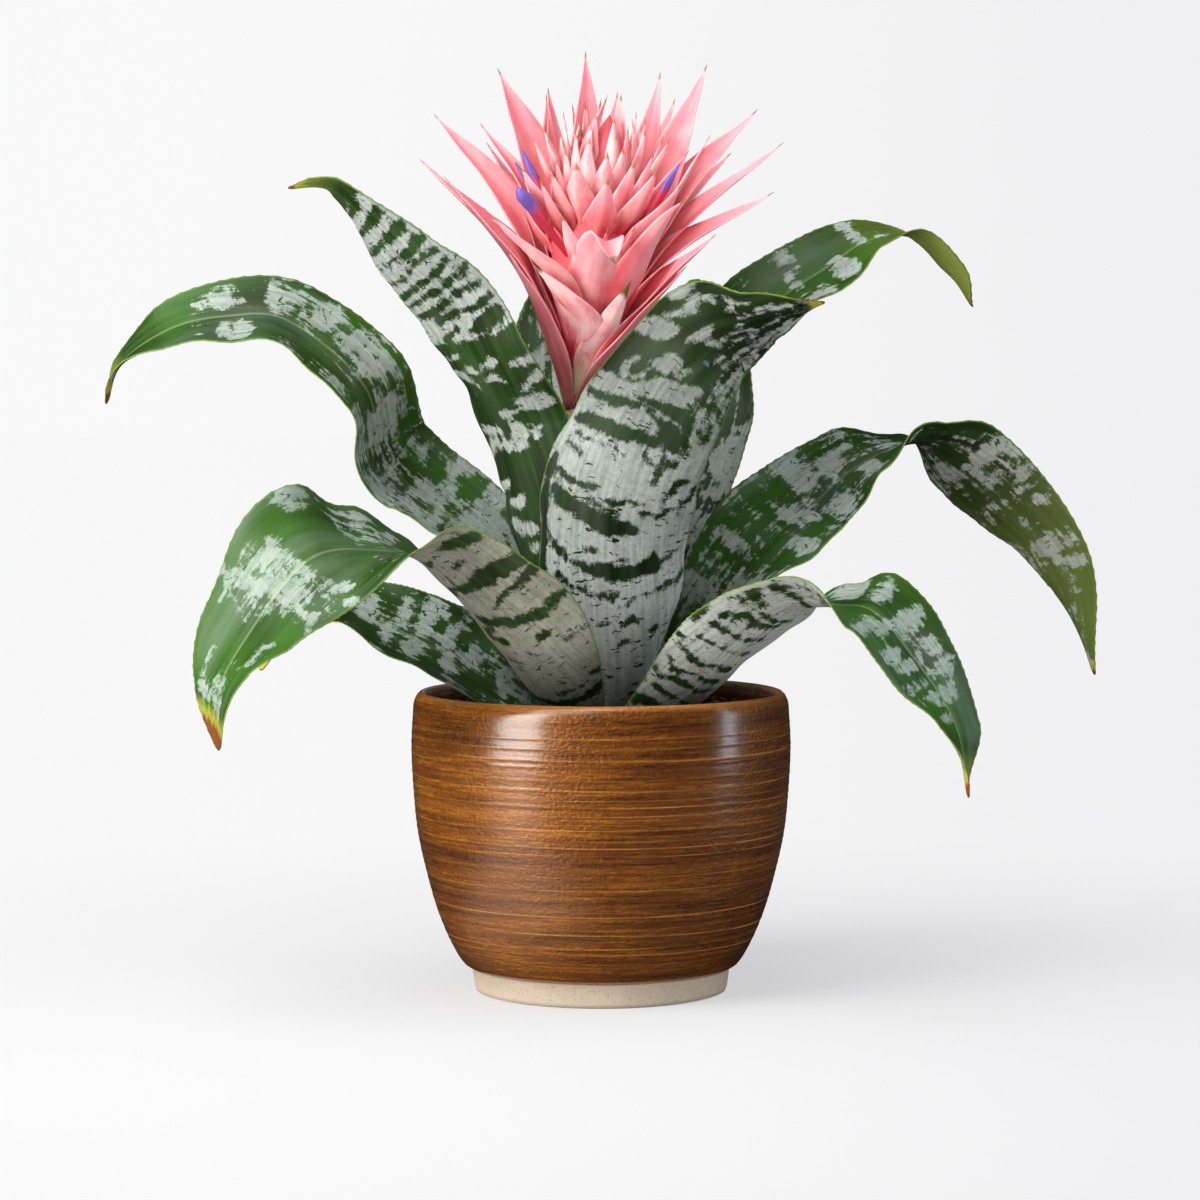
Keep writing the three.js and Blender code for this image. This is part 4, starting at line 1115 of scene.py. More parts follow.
# %% Leaves: upper left
LEAVES["leaf_03_upper_left"] = dict(
    azimuth=215, width=62, cup=[0.8, 0.9, 0.6, 0.4, 0.4],
    spine=[
        (-9.8, -6.9, 119.5, 0), (-12, -9, 150, 12), (-24, -13, 201, 20), (-30, -18, 228, 18),
        (-38, -18, 252, 12), (-52, -33, 281, 13), (-69, -41, 311, 26), (-86, -47, 327, 19),
        (-115, -51, 357, -4), (-122, -50, 360, -20), (-136, -48, 359, -30)],
    dry=3, wild=0.34, silver_and_shade=[(0, 0.95), (150, 0.9), (270, 0.8)],
    outer=[(0, 0), (60, -2), (184, -3), (190, 3), (262, 3), (272, -3)],
    outer_patches=[
        [(93, -19, 5), (91, -12, 5.5), (92, -4, 4)], [(83, -9, 5), (84, -4, 3)],
        [(104, -19, 4), (104, -11, 6), (108, -7, 3)], [(115, -26, 7), (116, -17, 7)],
        [(132, -26, 4), (134, -18, 5), (132, -8, 6), (129, -4, 3)], [(139, -23, 4), (139, -10, 4.5)],
        [(131, 2, 6), (138, 4, 10), (143, 2, 5)], [(134, 12, 4), (138, 14, 3)],
        [(146, -3, 4), (148, 5, 4.5)], [(152, 11, 7), (151, 21, 8)], [(160, 16, 5), (163, 24, 6)],
        [(168, -22, 4), (167, -15, 6), (163, -9, 4)], [(172, -9, 4), (170, -3, 3)],
        [(165, -3, 3), (167, 3, 6), (165, 9, 4)], [(173, 0, 3), (174, 9, 4)],
        [(171, 17, 4), (171, 25, 5)], [(186, 14, 3), (187, 23, 3)], [(178, -21, 2.5), (180, -12, 2)]],
    outer_bars=[
        [(199, -8, 3), (200, 2, 3.5), (198, 12, 4), (200, 20, 4)],
        [(206, -18, 3), (205, -6, 3.4), (207, 6, 3.4), (206, 18, 3.6)],
        [(212, -20, 3), (213, -8, 3), (212, 4, 3.6), (214, 18, 3)],
        [(219, -18, 3.4), (220, -4, 2.6), (219, 8, 3.2), (221, 16, 4)],
        [(227, -18, 3), (226, -8, 3.6), (228, 4, 3), (227, 16, 3.6)],
        [(235, -16, 3.4), (236, -4, 3), (234, 6, 3.6), (236, 14, 4)],
        [(243, -14, 3), (244, 0, 3.4), (245, 12, 5)], [(253, -14, 3), (254, -2, 3.6), (256, 10, 4)],
        [(190, 6, 6), (193, 18, 9)], [(190, -12, 2.6), (193, -2, 3)], [(262, -8, 3), (264, 4, 3.4)]])
print(len(LEAVES), "leaves described")

# %% Leaves: left middle
LEAVES["leaf_04_left_middle"] = dict(
    azimuth=175, width=64, wrap=0.65, cup=[0.6, 0.65, 0.5, 0.4, 0.4],
    spine=[
        (-15.4, 1.4, 119.5, 0), (-25, 2, 151, -12), (-41, 3, 188, -24), (-66, 5, 213, -29),
        (-89, 1, 231, -36), (-98, -5, 242, -44), (-105, -14, 272, -44), (-142, -15, 303, -46),
        (-165, -15, 304, -53), (-190, -14, 299, -50), (-215, -11, 282, -25), (-221, -10, 265, -3)],
    dry=5, wild=0.5, silver_and_shade=[(0, 0.95), (150, 0.9), (220, 0.75), (300, 0.68)],
    inner=[(0, 3), (100, 1.4), (150, -0.6), (200, -1.4), (250, -2.6), (330, -5)],
    inner_dark=[
        (113, 12, -0.65, 0.25), (151, 26, 0.02, 0.34), (128, 12, 0.3, 0.15), (205, 18, 0.45, 0.3),
        (170, 10, 0.5, 0.3)],
    inner_lace=[
        (145, 44, 0.1, 0.8), (185, 46, -0.45, 0.38), (222, 36, -0.45, 0.38), (180, 50, 0.7, 0.25),
        (256, 16, 0.5, 0.35), (262, 20, -0.5, 0.3)],
    inner_silver=[
        (95, 22, 0, 0.9), (127, 14, -0.1, 0.3), (170, 10, 0.08, 0.25), (176, 8, -0.5, 0.25),
        (189, 9, -0.5, 0.3), (204, 9, -0.55, 0.35), (218, 8, -0.6, 0.3), (239, 8, -0.35, 0.3)])
print(len(LEAVES), "leaves described")

# %% Leaves: front left
LEAVES["leaf_05_front_left_low"] = dict(
    azimuth=235, width=90.4, wrap=0.6, cup=[0.6, 0.8, 0.6, 0.2, 0.35],
    spine=[
        (-10.9, -15.6, 119.5, 0), (-14, -36, 131, 10), (-34, -60, 158, -5), (-58, -71, 184, -14),
        (-76, -79, 199, -18), (-94, -88, 203, -33), (-122, -107, 201, -66), (-147, -113, 171, -50),
        (-161, -122, 144, -28), (-162, -110, 120, -26)],
    ruffle=0.6, dry=13, painted_warm_bounce=0.65, wild=0.3, silver_and_shade=[(0, 0.8), (150, 0.76), (180, 0.66), (280, 0.56)],
    outer=[(0, 4), (135, 4), (170, -2)], inner=[(0, -1), (140, -3), (170, -4), (281, -5)],
    outer_bars=[
        [(28, -17, 2.2), (27, -5, 2.6), (29, 5, 3), (31, 15, 3), (33, 22, 2)],
        [(35, 0, 1.6), (37, 15, 1.2)], [(51, -15, 2), (50, -9, 1.6)], [(57, -16, 2), (57, -12, 1.6)],
        [(63, 3, 1.6), (62, 10, 1.6)], [(65, 24, 1.2), (64, 40, 1.2)], [(69, 12, 1.2), (70, 20, 1.2)],
        [(75, -17, 5), (72, -8, 4.4), (73, -4, 3)], [(79, -17, 2.6), (80, -9, 2.6)],
        [(88, -12, 3), (85, -4, 3.8), (83, 5, 3.8), (80, 14, 3.2), (79, 25, 3.2), (80, 35, 3.4),
         (81, 44, 3.4)], [(90, 8, 1.6), (95, 20, 1.4), (96, 30, 2.4), (98, 42, 5)],
        [(103, -14, 2.6), (106, -5, 3.4), (105, 3, 4.4), (106, 10, 6)],
        [(106, 10, 6), (107, 20, 9), (107, 30, 9), (106, 42, 7)], [(108, -2, 3), (114, 0, 2)],
        [(117, 10, 1.2), (119, 20, 1.2)], [(132, 12, 2), (130, 20, 4), (128, 28, 7), (125, 38, 4)],
        [(122, -6, 3), (126, 4, 2)], [(40, 20, 1.2), (41, 27, 1.2)], [(135, -10, 6), (137, 10, 5)]],
    inner_lace=[
        (203, 36, -0.3, 0.5), (198, 26, 0.45, 0.45), (149, 30, -0.6, 0.3), (233, 16, 0.5, 0.35),
        (176, 10, -0.85, 0.2), (247, 26, -0.45, 0.3), (252, 30, 0.2, 0.3)],
    inner_patches=[
        [(190, -19, 4), (192, -13, 6), (200, -16, 7)],
        [(205, -18, 7), (208, -10, 8), (202, -5, 8), (202, 4, 8), (205, 8, 6)],
        [(201, 9, 7), (204, 16, 7), (202, 24, 6), (196, 27, 4)], [(189, -5, 4), (188, 1, 6), (190, 4, 4)],
        [(191, 18, 5), (185, 20, 7), (179, 23, 5)], [(186, 29, 5), (183, 33, 5)],
        [(205, 26, 5), (211, 28, 5)], [(236, 11, 4), (230, 12, 6), (225, 17, 5)],
        [(208, -28, 4), (213, -21, 5), (218, -21, 4)],
        [(158, -24, 4), (153, -23, 2), (148, -21, 3), (142, -21, 4), (132, -32, 6)]])
print(len(LEAVES), "leaves described")

# %% Leaves: low left and the two behind the head
LEAVES["leaf_06_left_low"] = dict(
    azimuth=165, width=56, wrap=0.5, cup=[0.5, 0.7, 0.5, 0.4, 0.4],
    spine=[
        (-21.7, 5.8, 119.5, 0), (-34, 4, 126.5, -13), (-55, 1, 140, -26), (-74, -2, 154, -31),
        (-98, -6, 166, -28), (-120, -10, 174, -17), (-140, -14, 166, -10), (-152, -17, 146, -5)],
    dry=0.5, ripe=[(0, 0), (1, 0)], darker_green=0.35, wild=0.6, silver_and_shade=[(0, 0.75), (60, 0.9), (160, 0.9)],
    inner=[(0, 0), (40, -1.5), (160, -2)],
    inner_silver=[
        (28, 10, -0.3, 0.45), (48, 12, -0.35, 0.45), (62, 9, -0.3, 0.35), (72, 7, -0.55, 0.3),
        (83, 9, -0.5, 0.45), (57, 9, 0.15, 0.25), (88, 10, 0.2, 0.35), (99, 9, -0.2, 0.4),
        (75, 12, 0.35, 0.2)])
LEAVES["leaf_07_back_left"] = dict(
    azimuth=120, width=60, cup=[0.8, 0.9, 0.6, 0.4, 0.4],
    spine=[
        (-6, 10.4, 119.5, 0), (-2, 23, 150, 0), (-1, 38, 194, -10), (-9, 47, 230, -18),
        (-21, 52, 266, -20), (-22, 58, 294, -15), (-16, 67, 315, -5), (-5, 82, 325, 0), (3, 102, 318, 0)],
    darker_green=0.3, wild=0.6, inner=[(0, 2), (120, 1), (250, 0)])
LEAVES["leaf_08_back_right"] = dict(
    azimuth=60, width=58, cup=[0.8, 0.9, 0.6, 0.4, 0.4],
    spine=[
        (7.8, 13.4, 119.5, 0), (11, 30, 150, 5), (24, 52, 190, 10), (38, 68, 221, 15), (50, 78, 250, 15),
        (54, 86, 278, 10), (50, 94, 300, 5), (42, 108, 314, 0), (33, 124, 308, 0)],
    darker_green=0.45, wild=0.5, inner=[(0, 1.4), (90, -0.5), (250, -1.5)],
    inner_silver=[(124, 8, -0.6, 0.3), (143, 24, -0.75, 0.6), (157, 8, -0.8, 0.4), (172, 8, -0.3, 0.4)])
print(len(LEAVES), "leaves described")

# %% Leaves: right middle
LEAVES["leaf_09_right_middle"] = dict(
    azimuth=355, width=64, wrap=0.65, cup=[0.6, 0.7, 0.54, 0.38, 0.5],
    spine=[
        (18.9, -1.7, 119.5, 0), (34, 2, 144, 20), (54, 10, 174, 46), (79, 24, 204, 62), (96, 36, 217, 60),
        (119, 45, 236, 42), (148, 55, 247, 14), (170, 60, 235, -22), (190, 65, 218, -26),
        (213, 71, 192, -14), (234, 86, 136, 35)],
    dry=3, painted_warm_bounce=0.2, ripe=[(0, 0.28), (70, 0.2), (110, 0.05), (140, 0)], wild=0.5,
    silver_and_shade=[(0, 0.5), (60, 0.75), (100, 1), (200, 1), (230, 0.75), (345, 0.75)],
    outer=[(0, 1), (180, -1.4), (290, -1.2), (345, -2)],
    inner=[(0, -1), (80, -0.6), (170, -0.8), (340, -3)],
    inner_silver=[
        (108, 15, -0.62, 0.28), (141, 13, -0.45, 0.4), (128, 8, -0.15, 0.22), (121, 9, 0.15, 0.35),
        (141, 15, 0.55, 0.4), (96, 11, 0.5, 0.35), (156, 13, 0.4, 0.3), (166, 11, -0.25, 0.3),
        (77, 12, -0.2, 0.4)],
    outer_silver=[
        (222, 8, -0.45, 0.5, -4), (211, 20, 0.35, 0.13, 8), (232, 14, -0.05, 0.14, 8),
        (242, 7, -0.7, 0.22), (256, 7, -0.6, 0.14), (262, 8, 0.05, 0.14), (277, 10, 0.1, 0.4),
        (281, 14, -0.1, 0.16), (288, 6, -0.5, 0.35), (300, 11, -0.3, 0.25), (246, 6, 0.5, 0.3),
        (310, 6, 0, 0.3)])
print(len(LEAVES), "leaves described")

# %% Leaves: front right
LEAVES["leaf_10_front_right_low"] = dict(
    azimuth=310, width=64, wrap=0.65, cup=[0.6, 0.9, 0.5, 0.22, 0.35],
    spine=[
        (14.5, -17.2, 119.5, 0), (31, -34, 131, -14), (55, -53, 153, -8), (73, -67, 170, -8),
        (86, -75, 178, -2), (103, -79, 179, 20), (116, -84, 177, 40), (136, -91, 154, 46),
        (151, -96, 129, 32), (156, -105, 99, -10)],
    dry=5, painted_warm_bounce=0.15, wild=0.3, silver_and_shade=[(0, 1), (100, 0.92), (140, 0.7), (240, 0.62)],
    outer=[(0, 3), (105, 4), (130, 0)], inner=[(0, -2), (190, -4), (205, -6)],
    outer_bars=[
        [(17, -20, 5), (22, -14, 5), (25, -8, 3)], [(30, -23, 4), (33, -25, 3)],
        [(34, -15, 2.2), (33, -8, 2.4), (34, -2, 1.8), (32, 4, 1.6)],
        [(42, -24, 2.4), (39, -18, 1.8), (43, -12, 2.2), (43, -4, 1.6), (41, 2, 2.2), (43, 12, 1.6)],
        [(51, -22, 2.2), (47, -17, 2.2), (51, -8, 1.8), (50, 0, 2.2), (49, 8, 2.2)],
        [(60, -24, 2.8), (58, -16, 2.8), (57, -8, 2.2), (60, -4, 2.2), (58, 8, 2.2)],
        [(64, -27, 3), (66, -22, 2)], [(69, -22, 2.4), (71, -12, 1.8), (71, -5, 2.4), (71, 8, 2.2)],
        [(80, -22, 1.8), (80, -5, 1.4), (82, 6, 1.4)],
        [(86, -22, 2), (93, -14, 4.4), (90, -8, 4.4), (93, 5, 2.4)],
        [(98, -26, 3), (97, -12, 3.4), (96, -2, 3.4), (97, 8, 2)], [(103, -24, 5), (101, -14, 3)],
        [(109, -24, 3), (112, -10, 1.6), (114, 2, 1.4)], [(75, -29, 3), (84, -30, 2)]],
    inner_silver=[
        (145, 10, -0.45, 0.4), (151, 7, -0.1, 0.32), (165, 8, -0.5, 0.25), (170, 6, -0.25, 0.25),
        (181, 5, -0.5, 0.4), (188, 7, -0.3, 0.4), (127, 12, 0.7, 0.3), (141, 6, 0.5, 0.25),
        (155, 11, 0.45, 0.4), (168, 9, 0.5, 0.3), (179, 6, 0.4, 0.3), (189, 8, 0.2, 0.25),
        (199, 4, -0.4, 0.3)])
print(len(LEAVES), "leaves described")

# %% Leaves: low right and the back
LEAVES["leaf_11_right_low"] = dict(
    azimuth=25, width=50, wrap=0.45, cup=[0.5, 0.8, 0.5, 0.4, 0.4],
    spine=[
        (23.6, 11, 119.5, 0), (41, 22, 131, 0), (53, 34, 150, 0), (60, 48, 168, 0), (64, 66, 182, 0),
        (67, 88, 188, 0), (69, 112, 182, 0), (70, 130, 164, 0)],
    wild=0.8, inner=[(0, 1), (100, -1), (200, -3)])
LEAVES["leaf_12_back"] = dict(
    azimuth=95, width=56, cup=[0.8, 0.9, 0.5, 0.4, 0.4],
    spine=[
        (-1.7, 18.9, 119.5, 0), (-3, 38, 143, 0), (-5, 66, 168, 0), (-8, 94, 186, 0), (-11, 122, 194, 0),
        (-14, 148, 188, 0), (-16, 170, 168, 0), (-17, 182, 142, 0)])
LEAVES["leaf_13_back_left_low"] = dict(
    azimuth=128, width=54, wrap=0.42, cup=[0.5, 0.8, 0.5, 0.4, 0.4],
    spine=[
        (-16, 20.5, 119.5, 0), (-30, 44, 135, 0), (-42, 66, 152, 0), (-54, 90, 164, 0),
        (-64, 114, 164, 0), (-70, 136, 148, 0), (-73, 150, 124, 0)])
LEAVES["leaf_14_back_right_low"] = dict(
    azimuth=75, width=54, wrap=0.42, cup=[0.5, 0.8, 0.5, 0.4, 0.4],
    spine=[
        (5.8, 25.5, 119.5, 0), (14, 48, 133, 0), (22, 74, 150, 0), (30, 102, 160, 0), (37, 128, 158, 0),
        (42, 150, 142, 0), (45, 164, 118, 0)])
print(len(LEAVES), "leaves described")

# %% Leaves: growing all fourteen
for number, (name, leaf) in enumerate(LEAVES.items(), start=1):
    grow_leaf(name, {**USUAL, **leaf, "seed": number}, [outer_face, inner_face, margin])

# %% [markdown]
# ## Flower head
# The head is a rosette of stiff pointed bracts on a solid core. Each bract is a boat: keeled
# below, with thin margins and a dry hard point. As with the leaves, a grid is laid on a
# formula that stands each bract on the core and points it at its tip. All bracts are grown
# together, so they are one mesh.

# %% Flower head: axis and core
HEAD_FOOT = np.array([-12.0, -4, 262])
HEAD_TOP = np.array([4.0, 2, 394])
HEAD_LENGTH = float(np.linalg.norm(HEAD_TOP - HEAD_FOOT))
HEAD_AXIS = (HEAD_TOP - HEAD_FOOT) / HEAD_LENGTH
CORE = [3.8, 4.6, 8, 13, 17, 19, 18, 14, 9, 3]     # radii at even steps up the axis


def up_axis(height):
    """How far up the head's axis a height is, from 0 to 1."""
    return (height - HEAD_FOOT[2]) / (HEAD_TOP[2] - HEAD_FOOT[2])


def on_axis(height):
    """The point of the head's axis at a height."""
    return HEAD_FOOT + (HEAD_TOP - HEAD_FOOT) * up_axis(height)


def core_radius(height):
    """Radius of the solid middle of the head there."""
    return float(np.interp(up_axis(height), np.linspace(0, 1, len(CORE)), CORE))


print("head is", round(HEAD_LENGTH), "mm long on its axis")

# %% Flower head: one bract
BRACT_ROWS = 26
BRACT_COLUMNS = 8
BRACT_THICKNESS = 0.6
RIPPLE = 0.35                     # how high the margins of a bract wave


class Bract:
    """The rows of a pointed boat from the core to its tip. Millimetres."""

    def __init__(self, tip, width, foot, arch=0.04, cup=0.6, roll=0, bend=(), full=2.3):
        end = np.array(tip, float)
        middle = on_axis(foot)
        out = end - middle
        out -= HEAD_AXIS * out.dot(HEAD_AXIS)
        out /= np.linalg.norm(out)
        root = middle + out * 0.85 * core_radius(foot)
        chord = end - root
        bow = out - chord * out.dot(chord) / chord.dot(chord)
        knee = (root + end) / 2 - bow / np.linalg.norm(bow) * arch * np.linalg.norm(chord)
        path = Spine([root, *(bend or [knee]), end])
        self.length = path.length
        self.share = np.linspace(0, 1, BRACT_ROWS + 1) ** 0.9
        self.centre = path.points(self.share)
        tangent = path.tangents(self.share)
        side = np.cross(HEAD_AXIS, out)
        side = side - tangent * (tangent @ side)[:, None]
        side /= np.linalg.norm(side, axis=1)[:, None]
        turn = np.radians(roll * smooth(self.share / 0.6))[:, None]
        self.side = side * np.cos(turn) + np.cross(tangent, side) * np.sin(turn)
        self.inward = np.cross(tangent, self.side)
        grow = 0.4 + 0.6 * smooth(self.share / 0.4)
        self.half = np.maximum(0.1, width / 2 * grow * (1 - self.share ** full) ** 1.2)
        self.cup = cup

    def point(self, row, u):
        """The point at u, -1 to 1 across the row, with a keel under the middle."""
        radius = self.half[row] / self.cup
        keel = 0.16 * self.half[row] * (1 - abs(u)) ** 2
        along_side = radius * math.sin(u * self.cup)
        along_inward = radius * (1 - math.cos(u * self.cup)) - keel
        return self.centre[row] + self.side[row] * along_side + self.inward[row] * along_inward


def add_bract(mesh, layers, bract, seed, pale, dry, green=0.0):
    """Lays a grid on a bract and adds it to the head."""
    grid = bmesh.ops.create_grid(mesh, x_segments=BRACT_COLUMNS, y_segments=BRACT_ROWS, size=1)
    flat, spot, tone = layers
    for corner in grid["verts"]:
        row = round((corner.co.y + 1) / 2 * BRACT_ROWS)
        u = corner.co.x
        half = bract.half[row]
        along = bract.share[row] * bract.length
        corner[flat] = Vector((u * half * MM, along * MM, seed * 1.31))
        corner[spot] = Vector((bract.share[row], (1 - abs(u)) * half * MM, (bract.length - along) * MM))
        corner[tone] = Vector((pale, dry, green))
        phase = seed * 2.1 + (2 if u > 0 else 0)
        ripple = RIPPLE * u ** 2 * math.sin(along / 6.5 + phase) if half > 2 else 0
        corner.co = Vector(bract.point(row, u) + bract.inward[row] * ripple) * MM


print("a bract has", BRACT_ROWS * BRACT_COLUMNS, "faces before its thickness")

# %% Flower head: large bracts
LARGE_BRACTS = [
    dict(tip=(-81, -8, 374), width=28, foot=268, arch=0.1, roll=-22),
    dict(tip=(-69, -30, 365), width=24, foot=264, arch=0.09, roll=-25),
    dict(tip=(-76, 28, 396), width=30, foot=286, arch=0.09, roll=-32),
    dict(tip=(-55, 30, 392), width=19, foot=300, arch=0.1, roll=-30),
    dict(tip=(-47, 30, 417), width=33, foot=316, arch=0.05, roll=-30),
    dict(tip=(-25, 36, 406), width=20, foot=316, arch=-0.04, roll=-10),
    dict(tip=(-7, 24, 424), width=24, foot=330, arch=0.05, roll=-10),
    dict(tip=(27, 28, 415), width=25, foot=320, arch=-0.04, roll=14),
    dict(tip=(48, 22, 418), width=32, foot=304, arch=0, roll=36),
    dict(tip=(48, -28, 383), width=14, foot=306, arch=0, roll=30),
    dict(tip=(71, 24, 398), width=30, foot=292, arch=0.07, roll=34),
    dict(tip=(82, 6, 382), width=26, foot=280, arch=0.08, roll=26),
    dict(tip=(77, -12, 359), width=30, foot=268, arch=0.13, roll=36),
    dict(tip=(51, -24, 340), width=30, foot=266, arch=0.07, roll=40),
    dict(tip=(-42, -26, 334), width=22, foot=262, arch=0.06, roll=-16),
    dict(tip=(38, -24, 326), width=28, foot=263, arch=0.05, roll=38),
    dict(tip=(37, -56, 354), width=23, foot=286, bend=[(14, -33, 324), (22, -45, 337), (30, -52, 348)]),
    dict(tip=(-50, -54, 344), width=21, foot=282,
         bend=[(-18, -32, 317), (-29, -42, 329), (-39, -49, 338), (-47, -53, 345)]),
    dict(tip=(-17, -50, 347), width=22, foot=292,
         bend=[(-8, -34, 324), (-13, -43, 335), (-16, -47, 344)]),
    dict(tip=(6, -53, 326), width=24, foot=286, full=7,
         bend=[(-4, -27, 311), (-2, -39, 326), (0, -46, 334), (2, -49, 337), (4, -53, 335)]),
    dict(tip=(-30, -46, 326), width=22, foot=280,
         bend=[(-7, -25, 300), (-17, -36, 312), (-25, -43, 321)]),
    dict(tip=(13, -42, 319), width=19, foot=266, bend=[(-4, -14, 285), (3, -26, 299), (9, -36, 311)]),
]
DRY_TIPS = {20: (5, 0.4), 21: (9, 1)}        # how far the tip is dry, in millimetres, and how green
USUAL_DRY_TIP = (3.2, 0)
PALE_BRACTS = {0: 0.3, 2: 0.3, 4: 0.2, 8: 0.3, 17: 0.6, 18: 0.35, 19: 0.45, 20: 0.8, 21: 1.1}
USUAL_PALE = 0.15
BACK_TIERS = [
    dict(count=4, start=20, end=160, reach=66, height=350, width=25, foot=284, arch=0.09),
    dict(count=4, start=25, end=155, reach=72, height=380, width=27, foot=296, arch=0.05),
    dict(count=3, start=35, end=150, reach=46, height=404, width=25, foot=310, arch=0),
]


def tip_behind(reach, height, degrees, raised):
    """The tip of a bract at the back of the head."""
    turn = math.radians(degrees)
    middle = on_axis(height)
    return (middle[0] + reach * math.cos(turn), middle[1] + reach * math.sin(turn), height + raised)


for tier in BACK_TIERS:
    count, start, end = tier["count"], tier["start"], tier["end"]
    for i in range(count):
        degrees = start + (end - start) * (i + 0.5) / count + 6 * math.sin(5 * i)
        reach = tier["reach"] * (1 + 0.08 * math.sin(3 * i + 1))
        tip = tip_behind(reach, tier["height"], degrees, 5 * math.sin(7 * i))
        LARGE_BRACTS.append(dict(tip=tip, width=tier["width"], foot=tier["foot"], arch=tier["arch"]))
print(len(LARGE_BRACTS), "large bracts")

# %% Flower head: small bracts
SMALL_BRACTS = [                             # tip and width
    ((-2, -4, 395), 16), ((9, 8, 404), 11), ((3, 4, 403), 8), ((-7, 18, 401), 9), ((-13, 16, 400), 9),
    ((0, 14, 402), 8), ((-17, 6, 396), 9), ((16, 10, 396), 9), ((20, -4, 392), 9), ((18, 8, 390), 9),
    ((-26, 2, 389), 10), ((-24, -6, 384), 9), ((-18, -2, 387), 10), ((-11, -12, 386), 10),
    ((12, -8, 388), 10), ((20, -10, 387), 12), ((-31, -14, 384), 8), ((-30, -20, 381), 9),
    ((31, -16, 383), 11), ((24, -16, 377), 12), ((-5, -14, 383), 15), ((7, -18, 385), 13),
    ((3, -26, 376), 17), ((-11, -30, 371), 23), ((15, -28, 372), 16), ((25, -33, 368), 17),
    ((3, -38, 364), 21), ((-22, -26, 368), 15), ((-36, -30, 370), 15), ((-27, -28, 364), 13),
    ((39, -20, 377), 12), ((36, -34, 362), 15), ((15, -45, 343), 9), ((3, -47, 342), 9),
    ((-16, -20, 378), 11), ((10, -18, 379), 12), ((-4, -8, 390), 10), ((6, -4, 393), 10),
    ((28, -10, 384), 10), ((-20, -16, 374), 12), ((14, 2, 392), 10), ((-9, 4, 393), 9),
]
for count, reach, height in ((5, 36, 360), (4, 26, 376), (3, 15, 390)):
    for i in range(count):
        degrees = 180 * (i + 0.5) / count + 9 * math.sin(4 * i + reach)
        SMALL_BRACTS.append((tip_behind(reach, height, degrees, 3 * math.sin(6 * i)), 16))
print(len(SMALL_BRACTS), "small bracts")

# %% [markdown]
# Bracts are coloured by where a point lies on its own bract: coral deep down at the root, which
# is partly painted shade for the hollows between bracts, pink above, paler along the thin
# margins, with fine stripes along the length, a dusting of pale scales in blotches, and a tan point.

# %% Flower head: finish
bract_pink, tree, shader = new_material("bract_pink", IOR=1.4, Specular_IOR_Level=0.35)
place = attribute(tree, "flat_place")
share, rim, to_tip = axes(tree, attribute(tree, "leaf_spot"))
pale, dry, greenish = axes(tree, attribute(tree, "tone"))
veins = between(tree, cloud(tree, place, (240, 12, 1), detail=1), 0.3, 0.7)
dust = use_group(tree, blotches, Place=stretched(tree, place, (90, 45, 1), (5, 1, 3)), Spread=0.16)["Mask"]
# Deep coral at the root: partly the bract's own colour, partly painted shade between the bracts.
pink = blend(tree, between(tree, share, 0.18, 0.92), paint("#d32f3d"), paint("#f58592"))
pink = blend(tree, calc(tree, "MULTIPLY", veins, 0.3), pink, paint("#fdb3ba"))
dusty = calc(tree, "MULTIPLY_ADD", calc(tree, "MINIMUM", pale, 0.9), 0.75, 0.08)
pink = blend(tree, calc(tree, "MULTIPLY", dust, dusty), pink, paint("#fbdcd8"))
creamy = calc(tree, "MULTIPLY", between(tree, pale, 0.95, 1.05), between(tree, share, 0.34, 0.12))
pink = blend(tree, creamy, pink, paint("#e9dcae"))
pink = blend(tree, between(tree, rim, 0.0008, 0.0002, 0, 0.3), pink, paint("#fbd0ce"))
tan = use_group(tree, dry_tip, Place=place, Away=to_tip, Reach=calc(tree, "MULTIPLY", dry, MM))["Mask"]
point = blend(tree, greenish, paint("#a37c5a"), paint("#5f5a1e"))
feed(tree, shader.inputs["Base Color"], blend(tree, tan, pink, point))
feed(tree, shader.inputs["Roughness"], between(tree, dust, 0, 1, 0.42, 0.62))
print("finish:", bract_pink.name)

# %% Flower head: growing the bracts
BRACT_LAYERS = ("flat_place", "leaf_spot", "tone")
DOME_FROM = 350                   # height where the small bracts begin to pale
head_mesh = bmesh.new()
layers = new_layers(head_mesh, *BRACT_LAYERS)
for number, shape in enumerate(LARGE_BRACTS):
    dry, green = DRY_TIPS.get(number, USUAL_DRY_TIP)
    add_bract(head_mesh, layers, Bract(**shape), number, PALE_BRACTS.get(number, USUAL_PALE), dry, green)
for number, (tip, width) in enumerate(SMALL_BRACTS):
    foot = min(HEAD_TOP[2] - 14, tip[2] - 30)
    white = float(smooth((tip[2] - DOME_FROM) / 45))
    shape = Bract(tip, width, foot, arch=-0.06, cup=0.8, full=1.9)
    add_bract(head_mesh, layers, shape, number + 40, pale=white, dry=3.4)
print("head:", len(head_mesh.faces), "faces")

